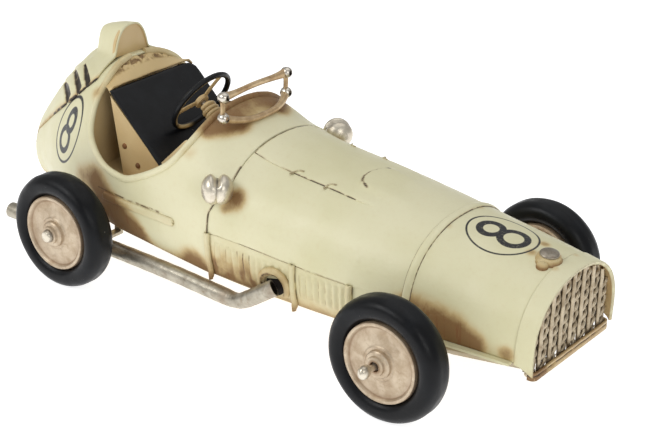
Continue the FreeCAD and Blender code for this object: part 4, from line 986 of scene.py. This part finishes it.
def upright_strip(x_middle, high_z):
    """A raised strip with a rounded face that runs up the right side of the body."""
    half, low_z, height, rows, columns = 1.6, 18.6, 1.9, 9, 60
    grid = level_patch((x_middle - half, x_middle + half), (low_z, high_z), rows, columns)
    across = np.linspace(-1, 1, rows)[:, None]
    z = grid[..., 2]
    body_low = float(smooth_values(BODY_STATIONS, x_middle)[0])
    low_y = float(half_width(x_middle, body_low))
    grid[..., 1] = np.where(z < body_low, -low_y, grid[..., 1])
    taper = 1 - 0.45 * step_up(-z, -(low_z + 3.0), -low_z)
    grid[..., 0] = x_middle + (grid[..., 0] - x_middle) * taper
    lift = height * np.sqrt(np.clip(1 - (0.985 * across) ** 2, 0, 1)) - 0.35 + 0 * z
    lift = lift + 0.9 * step_up(-z, -(low_z + 4.5), -(low_z + 1.0))
    # Darker edges broken up by noise: painted shade and grime.
    shade_and_dirt = 0.6 * step_up(np.abs(across), 0.7, 1.0) * step_up(noise_at(grid, 4.0, 1.0), -0.5, 0.2) + 0 * z
    return grid + outward(grid) * lift[..., None], shade_and_dirt


def make_ribs():
    """Three upright ribs on each side; each ends in a small tab below the body."""
    shapes, shades_and_dirt, stains = [], [], []
    for x in RIB_PLACES:
        raised, shade_and_dirt = upright_strip(x, float(crease_height(x)) + 0.2)
        shapes.append(from_grid(raised))
        shades_and_dirt.append(shade_and_dirt.ravel())
        stains.append((stain_at(raised) * 0.8 + 0.14).ravel())
    shape = joined(shapes)
    fields = {"stain": np.tile(np.concatenate(stains), 2), "groove": np.tile(np.concatenate(shades_and_dirt), 2)}
    piece("upright_ribs", both_sides(shape), "cream_trim", ["side_ribs"], fields=fields,
          thickness=0.8, inside="tan")


def make_blades():
    """Raised flat blades along the lower sides of the rear body, round at the front."""
    rear, front, middle_z, half, columns = -67.0, -22.8, 40.6, 2.2, 13
    grid = level_patch((rear, front), (middle_z - half, middle_z + half), 90, columns)
    x = grid[..., 0]
    reach = np.sqrt(np.clip(1 - np.clip((x - (front - half)) / half, 0, 1) ** 2, 0.02, 1))
    grid[..., 2] = middle_z + (grid[..., 2] - middle_z) * reach
    grid[..., 1] = -half_width(x, grid[..., 2])
    across = np.abs(np.linspace(-1, 1, columns))
    lift = 1.5 * np.clip(1 - across ** 4, 0, 1) - 0.1 + 0 * x
    shape = both_sides(from_grid(grid + outward(grid) * lift[..., None]))
    # The blades' edges are darkened: painted shade.
    stain, groove = stain_at(grid) + 0.12, 0.45 * step_up(across, 0.8, 1.0) + 0 * x
    fields = {"stain": np.tile(stain.ravel(), 2), "groove": np.tile(groove.ravel(), 2)}
    piece("side_blades", shape, "cream_trim", ["side_spears"],
          fields=fields, thickness=0.8, inside="tan")


# ---------------------------------------------------------------- exhaust
# Points along the middle of the pipe, from its rear end to its mouth.
EXHAUST_PATH = [
    (-131, -41.2, 13.8), (-95, -41.4, 14.4), (-60, -41.7, 14.8), (-25, -42.2, 14.9),
    (4, -43.0, 14.4), (13, -43.8, 14.9), (20, -45.0, 18.0), (35.5, -46.4, 29.0),
]


def pipe_end(points, outer_start, inner_start, count):
    """Faces of the flat ring between the outer and the inner wall at one end of a pipe."""
    faces = []
    inner = points[inner_start:inner_start + count]
    nearest = []
    for point in points[outer_start:outer_start + count]:
        nearest.append(inner_start + int(np.argmin(np.linalg.norm(inner - point, axis=1))))
    for i in range(count):
        j = (i + 1) % count
        corners = [outer_start + i, outer_start + j, nearest[j]]
        faces.append(corners + [nearest[i]] if nearest[i] != nearest[j] else corners)
    return faces


def make_exhaust():
    """Bent tin pipe with painted shade inside, a slanted mouth, one weld and small hammer marks."""
    radius, wall, segments, weld_distance = 3.75, 0.7, 36, 139.0
    path = smooth_path(EXHAUST_PATH, 16)
    along = np.linspace(0, 1, len(path))
    pinch = 1 - 0.10 * np.exp(-((path[:, 0] - 14.0) / 5.0) ** 2)
    radii = radius * pinch * (1 + 0.012 * np.sin(along * 160))
    outer = tube(path, radii, segments, capped=False)
    inner = tube(path[::-1], radii[::-1] - wall, segments, capped=False)
    points, faces = joined([outer, inner])
    from_start = np.linalg.norm(points - path[0], axis=1)
    mouth = (path[-1] - path[-2]) / np.linalg.norm(path[-1] - path[-2])
    near_mouth = np.clip(1 + ((points - path[-1]) @ mouth) / 6.0, 0, 1) * (points[:, 0] > 15.0)
    slant = -(points[:, 1] - path[-1, 1]) * 0.75 + 1.4
    points = points + mouth * (slant * near_mouth)[:, None]
    inside = np.zeros(len(points))
    inside[len(outer[0]):] = 1.0
    first, last = 0, (len(path) - 1) * segments
    for ring, inner_ring in ((first, last), (last, first)):
        faces += pipe_end(points, ring, len(outer[0]) + inner_ring, segments)
    front_lip = step_up(points[:, 0], 33.0, 38.0) * (1 - inside)
    weld = 0.35 * np.exp(-((from_start - weld_distance) / 3.0) ** 2) + 0.25 * front_lip
    # The inside is darkened through the groove field: painted shade inside the pipe.
    fields = {"groove": inside * 0.95, "stain": weld}
    piece("exhaust_tube", (points, faces), "exhaust", ["exhaust_pipe"], fields=fields)


def make_exhaust_collar():
    """Arched eyebrow over the exhaust's front end, and a dark disc behind it: painted shade in the port."""
    x, z = PORT
    angles = np.radians(np.linspace(-35, 205, 40))
    reach = 7.0 + 0.4 * np.sin(angles * 2)
    path = np.stack([x + reach * np.cos(angles), 0 * angles, z + reach * np.sin(angles)], axis=1)
    path[:, 1] = -half_width(path[:, 0], path[:, 2]) - 0.6
    size = 1.5 - 0.7 * np.abs(np.linspace(-1, 1, 40)) ** 3
    points, faces = tube(path, size, 16, squash=(1.35, 1.0), up=(0, 1, 0))
    # A darker ring round the port on the eyebrow's inner edge: painted shade.
    shade_and_dirt = 0.7 * np.exp(-((np.hypot(points[:, 0] - x, points[:, 2] - z) - 6.0) / 0.7) ** 2)
    fields = {"stain": 0.3 + 0 * shade_and_dirt, "groove": shade_and_dirt}
    piece("exhaust_eyebrow", (points, faces), "cream_trim", ["exhaust_collar"], fields=fields)
    middle = (x + 0.6, -float(half_width(x, z + 0.3)) - 0.15, z + 0.6)
    # A dark disc standing in for the shade inside the port: painted shade.
    well = lathe([(0, 0), (5.0, 0), (5.0, 0.7), (0, 0.7)], middle, (0, 1, 0), 40)
    piece("exhaust_port_shade", well, "void")


# ---------------------------------------------------------------- nose details
def grille_top(x, y):
    """Height at which the grille's bars end, a little below the nose sheet."""
    return float(top_height(x, y)) - 2.3


def make_grille():
    """Seven upright bars with chains of twisted wire between them, over a dark sheet: painted shade of the
    hollow.
    """
    bar_x, pitch = NOSE_X - 2.6, 7.8
    bars, wires = [], []
    places = [(i - 3) * pitch for i in range(7)]
    for y in places:
        heights = np.linspace(21.7, grille_top(bar_x, y), 20)
        sway_x, sway_y = 0.10 * np.sin(heights * 0.9 + y), 0.12 * np.sin(heights * 0.35 + y)
        path = np.stack([bar_x + sway_x, y + sway_y, heights], axis=1)
        bars.append(tube(path, 1.25, 16, squash=(0.62, 1.0), up=(0, 1, 0)))
    gaps = [y + pitch / 2 for y in places[:-1]] + [places[0] - 0.52 * pitch, places[-1] + 0.52 * pitch]
    for y in gaps:
        heights = np.arange(21.7, grille_top(bar_x, abs(y) + 1.5), 0.4)
        for turn in (0, math.pi):
            swing = heights * 2 * math.pi / 9.2 + turn + y
            path = np.stack([bar_x - 1.3 + 0.9 * np.cos(swing), y + 1.85 * np.sin(swing), heights], axis=1)
            wires.append(tube(path, 0.92 + 0.16 * np.sin(heights * 2.3 + y), 10, up=(0, 1, 0)))
    piece("grille_uprights", joined(bars), "grille", ["grille_bars"])
    piece("grille_chains", joined(wires), "grille", ["grille_mesh"])
    # A dark sheet behind the bars: painted shade in the hollow of the nose.
    hollow = []
    for y in np.linspace(-28.6, 28.6, 24):
        hollow.append([(bar_x - 3.2, y, 23.4), (bar_x - 3.2, y, max(24.0, grille_top(RING_X, y) + 0.6))])
    piece("grille_shade_backing", from_grid(np.array(hollow)), "umber", thickness=0.8)


def make_channel():
    """Rusty channel that closes the bottom of the grille opening, its corners rounded."""
    half, front, rear, corner, low, high, fold = 30.0, 154.9, 151.4, 2.6, 21.3, 25.0, 0.55
    right = [(rear, -half)]
    for turn in np.linspace(0, math.pi / 2, 9):
        right.append((front - corner + corner * math.sin(turn), -half + corner - corner * math.cos(turn)))
    middle = [(front, y) for y in np.linspace(-half + corner + 1, half - corner - 1, 60)]
    outline = right + middle + [(x, -y) for x, y in reversed(right)]
    grid = np.array([[(x, y, z) for x, y in outline] for z in np.linspace(high, low, 12)])
    rise = (grid[..., 2] - low) / (high - low)
    folded = 0.5 * np.exp(-((rise - fold) / 0.12) ** 2) * (grid[..., 0] > front - 0.4)
    dent = np.minimum(0.25 * noise_at(grid, 6.0, 3.0) - folded, 0.0)
    grid[..., 0] += np.where(grid[..., 0] > front - 0.5, dent, 0.0)
    near_end = np.exp(-((grid[..., 1] + half) / 9.0) ** 2)
    stain = 0.08 + 0.7 * near_end + 0.3 * step_up(noise_at(grid, 5.0, 1.0), -0.1, 0.6)
    cracks = 0.5 * near_end * step_up(noise_at(grid, 2.5, 9.0), -0.2, 0.4)
    groove = np.clip(0.8 * np.exp(-((rise - fold) / 0.10) ** 2) + cracks, 0, 1)
    piece("nose_channel", from_grid(grid), "rusty", ["nose_lip"],
          fields={"stain": stain, "groove": groove}, thickness=1.0)
    size, centre = (front - rear - 0.6, 2 * half - 1.6, 0.9), ((front + rear) / 2 - 0.2, 0, low + 0.6)
    piece("nose_channel_base", block(size, centre), "rusty")


def make_filler():
    """Dull cap on a cream collar with two small lobes beside it."""
    x, y = 142.2, -4.0
    tilt = np.array([0.10, -0.06, 1.0])
    base = np.array([x, y, float(top_height(x, y)) - 0.5])
    collar = [(0, -1.4), (6.0, -1.4), (5.9, 0.2), (5.2, 1.0), (4.9, 2.2), (4.1, 2.7), (0, 2.7)]
    lobe = [(0, -0.8), (2.9, -0.8), (2.7, 0.6), (2.3, 1.7), (1.5, 2.4), (0, 2.6)]
    shapes = [lathe(collar, base, tilt, 48)]
    for along, across, size in ((0.6, -6.0, 0.95), (-0.6, -3.4, 1.15)):
        foot = np.array([x + along, y + across, float(top_height(x + along, y + across)) - 0.4])
        shapes.append(lathe([(r * size, h) for r, h in lobe], foot, tilt, 32))
    points, faces = joined(shapes)
    stain = 0.5 * step_up(base[2] + 0.8 - points[:, 2], -0.5, 1.6) + 0.3
    piece("filler_base", (points, faces), "cream_trim", ["filler_collar"],
          fields={"stain": stain}, sharp=60)
    cap_profile = [(0, 2.6), (3.9, 2.6), (4.1, 3.1), (3.9, 3.6), (3.2, 3.9), (1.6, 4.05), (0, 4.1)]
    piece("filler_lid", lathe(cap_profile, base, tilt, 48), "steel", ["filler_cap"],
          sharp=50)


# ---------------------------------------------------------------- tail cover and headrest
# Distance forward, height of the cover's edge on the body, and height of its ridge.
COVER_SECTIONS = np.array([
    (-154.0, 31.0, 33.5), (-147.0, 40.5, 48.8), (-138.0, 46.8, 60.8), (-125.0, 56.4, 76.4),
    (-117.0, 62.2, 84.6), (-108.0, 68.9, 92.0), (-96.0, 78.7, 96.0), (-88.2, 86.0, 96.4),
])
# Distance forward, half-width and crown height of the headrest.
HEADREST_SECTIONS = np.array([
    (-106.8, 2.4, 97.0), (-105.6, 5.4, 102.2), (-103.0, 7.4, 104.2), (-99.0, 9.2, 105.6),
    (-94.0, 11.0, 106.9), (-88.2, 12.4, 107.8),
])


def cover_shape(x, angle):
    """Distance from the cover's edge line to the skin of cover and headrest, and the line's height."""
    edge, ridge = smooth_values(COVER_SECTIONS, x)
    half, crown = smooth_values(HEADREST_SECTIONS, x)
    base = half_width(x, edge) + 0.55
    across, up = np.abs(np.cos(angle)), np.sin(angle)
    cover = ((across / base) ** 1.5 + (up / (ridge - edge)) ** 1.5) ** (-1 / 1.5)
    low, high = np.zeros(x.shape), np.full(x.shape, 60.0)
    bottom, roundness, blend = 76.0, 2.6, 22.0
    for _ in range(30):
        middle = (low + high) / 2
        rise = np.clip((edge + middle * up - bottom) / (crown - bottom), 0, 9)
        inside = (middle * across / half) ** roundness + rise ** roundness < 1
        low, high = np.where(inside, middle, low), np.where(inside, high, middle)
    headrest = low * step_up(x, -107.4, -106.0)
    return (cover ** blend + headrest ** blend) ** (1 / blend), edge


# Pressed slots of the cover: start and end, each as distance forward and sideways.
COVER_SLOTS = [
    ((-122.0, -12.0), (-105.6, -25.4)),
    ((-117.0, -10.0), (-97.6, -26.0)),
    ((-106.4, -13.2), (-92.4, -25.2)),
]


def slot_marks(grid):
    """Depth of the pressed slots and of the raised flap ahead of each, seen from above."""
    slots, flap = np.zeros(grid.shape[:2]), np.zeros(grid.shape[:2])
    for start, end in COVER_SLOTS:
        run = np.subtract(end, start)
        length = float(np.hypot(*run))
        along = run / length
        rel_x, rel_y = grid[..., 0] - start[0], -np.abs(grid[..., 1]) - start[1]
        share = (rel_x * along[0] + rel_y * along[1]) / length
        off = rel_y * along[0] - rel_x * along[1]
        within = step_up(share, -0.02, 0.03) * step_up(-share, -1.02, -0.97)
        width = 0.45 + 0.85 * np.clip(share, 0, 1)
        slots = np.maximum(slots, within * np.exp(-(off / width) ** 4))
        ahead = off - width
        flap = np.maximum(flap, within * step_up(ahead, 0.0, 0.5) * step_up(-ahead, -4.0, -0.8))
    return slots, flap


def make_tail_cover():
    """Ridged cover over the tail, its headrest in one sheet with it, and three pressed slots a side."""
    rows, columns, half_turn = 170, 230, math.pi
    x = np.linspace(COVER_SECTIONS[0, 0], COVER_SECTIONS[-1, 0], rows)[:, None] + np.zeros(columns)
    angle = np.linspace(0.0, half_turn, columns) + 0 * x
    reach, edge = cover_shape(x, angle)
    grid = np.stack([x, -reach * np.cos(angle), edge + reach * np.sin(angle)], axis=2)
    slots, flap = slot_marks(grid)
    from_edge = np.minimum(angle, half_turn - angle)
    # gap darkens the cover's edge on the body, more toward the front, and the slots are darkened: painted
    # shade.
    gap = (0.35 + 0.65 * step_up(grid[..., 0], -122.0, -116.0)) * np.exp(-(from_edge / 0.055) ** 4)
    lift = wobble(grid) * 0.8 - 0.9 * slots + 0.55 * flap
    points, faces = from_grid(grid + outward(grid) * lift[..., None])
    stain = stain_at(grid) * 0.5 + 0.10 + 0.35 * np.exp(-(from_edge / 0.12) ** 2)
    fields = {"stain": stain, "groove": np.clip(np.maximum(1.1 * slots, 0.95 * gap), 0, 1)}
    piece("tail_cover_sheet", (points, faces), "cream", ["tail_cover"], fields=fields,
          sharp=60, thickness=0.9, inside="tan")


# ---------------------------------------------------------------- cockpit
def make_deck():
    """Rough tan sheet that slopes from the foot of the headrest down to the top of the seat."""
    rear, bend, front, columns = -88.4, -83.6, -75.4, 190
    low_z, rows = 86.4, 70
    x = np.linspace(rear, front, rows)[:, None] + np.zeros(columns)
    drop = np.clip((x - bend) / (front - bend), 0, 1)
    half = 28.0 - 4.4 * (1 - drop) - 2.5 * step_up(-x, -bend, -rear)
    y = half * np.linspace(-1, 1, columns)
    crown = top_height(x, y) - 0.5
    z = crown + (low_z - crown) * (drop * 0.72 + 0.28 * drop ** 2)
    grid = np.stack([x, y, z], axis=2)
    crust = step_up(noise_at(grid, 2.6, 4.0) + 0.5 * noise_at(grid, 1.1, 7.0), -0.3, 0.15)
    crust = crust * step_up(-x, 78.8, 81.6) * np.exp(-((y - 1.0) / 19.0) ** 6)
    grid[..., 2] = np.minimum(grid[..., 2], top_height(x, y) + 1.2)
    grid[..., 2] += 0.30 * noise_at(grid, 9.0, 2.0) - 0.6 * crust
    stain = 0.10 + 0.35 * crust + 0.3 * step_up(-x, 84.0, 88.0) + 0.25 * step_up(drop, 0.9, 1.0)
    piece("seat_shelf", from_grid(grid), "tan", ["seat_deck"],
          fields={"stain": stain, "groove": 0.5 * crust}, sharp=60, thickness=0.8)


def make_seat():
    """Flat black seat back with rounded upper corners, its sheet slightly bowed."""
    top_x, top_z, lean, length = -75.0, 85.6, math.radians(43.8), 47.5
    half, corner, thickness, rows, columns = 28.0, 7.0, 2.8, 60, 70
    down = np.linspace(0, length, rows)[:, None] + np.zeros(columns)
    reach = corner - np.sqrt(np.clip(corner ** 2 - np.clip(corner - down, 0, corner) ** 2, 0, None))
    across = np.linspace(0, 1, columns) * (2 * half - reach) - half
    bow = 0.35 * noise_at(np.stack([down, across, 0 * down], axis=2), 22.0, 5.0)
    bow = bow - 0.5 * step_up(np.abs(across), half - 1.0, half) - 0.4 * step_up(-down, -1.0, 0.0)
    x = top_x + down * math.cos(lean) + bow * math.sin(lean)
    z = top_z - down * math.sin(lean) + bow * math.cos(lean)
    grid = np.stack([x, across, z], axis=2)
    piece("seat_back", from_grid(grid), "black", ["seat_slab"], fields={"stain": 0.0 * down},
          thickness=thickness)


def spoke_directions(axis):
    """Directions of the three spokes, a third of a turn apart and square to the axis."""
    up = np.array([0, 0, 1.0]) - axis * axis[2]
    up = up / np.linalg.norm(up)
    side = np.cross(axis, up)
    return [math.cos(a) * up + math.sin(a) * side for a in np.radians([20, 140, 260])]


def make_steering():
    """Black rim worn to tan on its inner edge, flat tan spokes and a coiled column."""
    centre, reach, tilt = np.array([-45.0, 0.0, 80.0]), 16.0, math.radians(30)
    first, second, axis = axis_frame((-math.cos(tilt), 0.0, math.sin(tilt)))
    angles = np.arange(96) * 2 * math.pi / 96
    ring = centre + reach * (np.outer(np.cos(angles), first) + np.outer(np.sin(angles), second))
    points, faces = tube(ring, 1.3, 20, closed=True, up=axis)
    radius = np.linalg.norm(np.cross(points - centre, axis), axis=1)
    height = (points - centre) @ axis
    worn = step_up(-radius, -16.3, -15.6) * step_up(-height, -0.2, 0.5) * step_up(-points[:, 1], -3.0, 3.0)
    worn = worn * step_up(noise_at(points, 7.0, 2.0), -0.7, -0.2)
    piece("steering_wheel_rim", (points, faces), "black", ["steering_rim"],
          "steering_wheel", {"stain": worn})
    hub = [(1.45, -1.0), (3.4, -1.0), (3.7, -0.4), (3.5, 0.8), (2.6, 1.3), (1.45, 1.4)]
    shapes = [lathe(hub, centre, axis, 40)]
    for spoke in spoke_directions(axis):
        path = [centre + spoke * r + axis * 0.25 * math.sin(r / 5) for r in np.linspace(2.6, 15.2, 9)]
        shapes.append(tube(path, 1.5, 12, squash=(1.0, 0.42), up=axis))
    piece("steering_wheel_spokes", joined(shapes), "tan", ["steering_spokes"],
          "steering_wheel", sharp=50)
    turns, pitch, coil_radius, tail = 5, 2.2, 3.3, centre - axis * 3.0
    coil = []
    for sweep in np.linspace(0, turns * 2 * math.pi, turns * 20):
        outward_now = math.cos(sweep) * first + math.sin(sweep) * second
        coil.append(tail - axis * (1.0 + pitch * sweep / (2 * math.pi)) + coil_radius * outward_now)
    sleeve = lathe([(1.5, 0.0), (2.9, 0.0), (2.9, -29.0), (1.5, -29.0)], tail, axis, 32)
    column = joined([tube(coil, 0.95, 12, up=axis), sleeve])
    piece("steering_coil", column, "tan", ["steering_column"], sharp=50)


# ---------------------------------------------------------------- windscreen and mirrors
def make_windscreen():
    """Open wire frame with flattened ends, held by four round-headed bolts."""
    x, half, low, high = -13.5, 21.6, 86.0, 95.6
    bow_x = x + 5.6
    across = np.linspace(-1, 1, 33)
    upper = np.stack([x + 0 * across, across * half, high + 0.25 * np.cos(across * 4)], axis=1)
    bow = 1 - np.abs(across) ** 2.6
    lower = np.stack([x + (bow_x - x) * bow, across * half, low + 0 * across], axis=1)
    lower[:, 2] = low - (low - float(top_height(bow_x, 0)) - 1.1) * bow
    flattened = np.abs(across) ** 4
    shapes = [tube(upper, 1.3 + 1.0 * flattened, 16, squash=(0.8, 1.1))]
    shapes.append(tube(lower, 1.45 + 0.6 * flattened, 16))
    share = np.linspace(0, 1, 9)
    for side in (RIGHT, LEFT):
        post = [x + 0.2 * np.sin(share * 3), side * (half + 0.1) + 0 * share, low + (high - low) * share]
        shapes.append(tube(np.stack(post, axis=1), 1.1, 12, squash=(1.3, 0.8), up=(1, 0, 0)))
    shape = joined(shapes)
    stain = 0.25 + 0.5 * step_up(noise_at(shape[0], 4.0, 3.0), 0.0, 0.5)
    piece("windscreen_wire", shape, "frame_tin", ["windscreen_frame"],
          fields={"stain": stain * 0.6})
    profile = [(0, -2.6), (1.5, -2.4), (2.3, -1.4), (2.55, 0), (2.4, 1.2), (1.9, 2.1), (1.1, 2.6)]
    profile += [(0.95, 2.3), (0.8, 1.2), (0, 1.0)]
    places = [(x + 0.4, side * half, z) for side in (RIGHT, LEFT) for z in (low, high)]
    points, faces = joined([lathe(profile, place, (1, 0.0, 0.15), 32) for place in places])
    bolt_y, bolt_z = np.sign(points[:, 1]) * half, np.where(points[:, 2] > (low + high) / 2, high, low)
    off_axis = np.hypot(points[:, 1] - bolt_y, points[:, 2] - bolt_z)
    # The front of each bolt's hole is darkened: painted shade in the hole.
    hole = step_up(-off_axis, -1.25, -0.8) * (points[:, 0] > x + 0.9)
    piece("windscreen_knobs", (points, faces), "bright", ["windscreen_bolts"],
          fields={"groove": hole}, sharp=50)


def make_mirrors():
    """Two satin domes back to back on a short stalk, on each side of the car and turned inward."""
    centre, toe_in, foot_z = np.array([1.5, -42.4, 63.7]), math.radians(40), 60.5
    offset, depth, size = 2.0, 5.0, 6.6
    start = math.acos(offset / depth)
    dome = [(size * math.sin(a), offset - depth * math.cos(a)) for a in np.linspace(start, math.pi, 26)[:-1]]
    profile = [(0, 0.0)] + dome + [(0, offset + depth)]
    axis = np.array([math.cos(toe_in), math.sin(toe_in), 0.0])
    shapes = []
    for facing in (axis, -axis):
        points, faces = lathe(profile, centre, facing, 72)
        notch = np.exp(-((points - centre) @ axis / 1.5) ** 2) * step_up(points[:, 2] - centre[2], 2.5, 5.5)
        shapes.append((points - (0, 0, 2.2) * notch[:, None], faces))
    foot = np.array([0.0, -float(half_width(0.0, foot_z)) + 0.6, foot_z])
    stalk = [foot + (centre - foot) * t for t in np.linspace(0, 0.9, 8)]
    shapes.append(tube(stalk, np.linspace(2.6, 1.6, 8), 20))
    shape = joined(shapes)
    off_middle = (shape[0] - centre) @ axis
    # A dark line on the seam between the two domes: painted shade.
    seam_shade = np.exp(-(off_middle / 0.45) ** 2) * step_up(shape[0][:, 2] - centre[2], -4.0, 4.0)
    for side, made in (("right", shape), ("left", flipped(shape))):
        piece("mirror_housing_" + side, made, "mirror", ["mirror_" + side],
              fields={"groove": seam_shade * 0.7}, sharp=50)


# ---------------------------------------------------------------- stage, light and camera
def make_stage():
    """Pale matt floor that glows a little, so that it reads almost white."""
    material = Shader("pale_floor")
    base = material.mix(material.noise(400.0, 2), (0.58, 0.58, 0.60, 1), (0.60, 0.60, 0.62, 1))
    material.finish(base, 0.9, Emission_Color=(1, 1, 1, 1), Emission_Strength=0.86)
    mesh = bpy.data.meshes.new("floor")
    reach = 8.0
    corners = [(x * reach, y * reach, 0) for x, y in ((-1, -1), (1, -1), (1, 1), (-1, 1))]
    mesh.from_pydata(corners, [], [(0, 1, 2, 3)])
    floor = bpy.data.objects.new("floor", mesh)
    mesh.materials.append(material.material)
    bpy.context.collection.objects.link(floor)


def add_softbox(name, place, target, size, power):
    """A rectangular light aimed at a point; lengths in metres, power in watts."""
    light = bpy.data.lights.new(name, "AREA")
    light.shape = "RECTANGLE"
    light.size, light.size_y = size
    light.energy = power
    lamp = bpy.data.objects.new(name, light)
    lamp.location = place
    lamp.rotation_euler = (Vector(target) - Vector(place)).to_track_quat("-Z", "Y").to_euler()
    bpy.context.collection.objects.link(lamp)


def make_light():
    """White surroundings and three softboxes."""
    world = bpy.data.worlds.new("studio")
    world.use_nodes = True
    background = world.node_tree.nodes["Background"].inputs
    background["Color"].default_value = (1.0, 1.0, 1.0, 1)
    background["Strength"].default_value = 0.44
    bpy.context.scene.world = world
    add_softbox("key", (-0.55, -0.95, 0.95), (0, 0, 0.04), (0.9, 0.7), 6.5)
    add_softbox("front", (1.1, -0.55, 0.7), (0.05, 0, 0.04), (0.6, 0.6), 2.6)
    add_softbox("top", (0.0, 0.3, 1.4), (0, 0, 0), (1.4, 1.4), 4.2)
    bpy.context.scene.view_settings.view_transform = "Standard"


def make_camera():
    """Front right view: azimuth 37 degrees, 25 degrees up, with a slight roll; place in metres."""
    place = Vector((0.4238, -0.5250, 0.3486))
    azimuth, elevation, roll = (math.radians(v) for v in (37.05, 24.96, 1.63))
    level = Vector((math.sin(azimuth), -math.cos(azimuth), 0))
    back = level * math.cos(elevation) + Vector((0, 0, math.sin(elevation)))
    right = Vector((math.cos(azimuth), math.sin(azimuth), 0))
    up = back.cross(right)
    turned_right = right * math.cos(roll) + up * math.sin(roll)
    turned_up = up * math.cos(roll) - right * math.sin(roll)
    rotation = Matrix((turned_right, turned_up, back)).transposed().to_4x4()
    data = bpy.data.cameras.new("camera")
    data.sensor_width = 36.0
    data.lens = 91.04
    camera = bpy.data.objects.new("camera", data)
    camera.matrix_world = Matrix.Translation(place) @ rotation
    bpy.context.collection.objects.link(camera)
    bpy.context.scene.camera = camera


# ---------------------------------------------------------------- build
dress_frame()
for make in (
    make_bonnet, make_lid, make_latches, make_band, make_nose, make_nose_collar, make_rear_body, make_rim,
    make_side_panels, make_ribs, make_blades, make_exhaust, make_exhaust_collar, make_grille, make_channel,
    make_filler, make_tail_cover, make_deck, make_seat, make_steering, make_windscreen, make_mirrors,
    make_wheels, make_front_axle, make_rear_axle_heads, make_stage, make_light, make_camera,
):
    make()
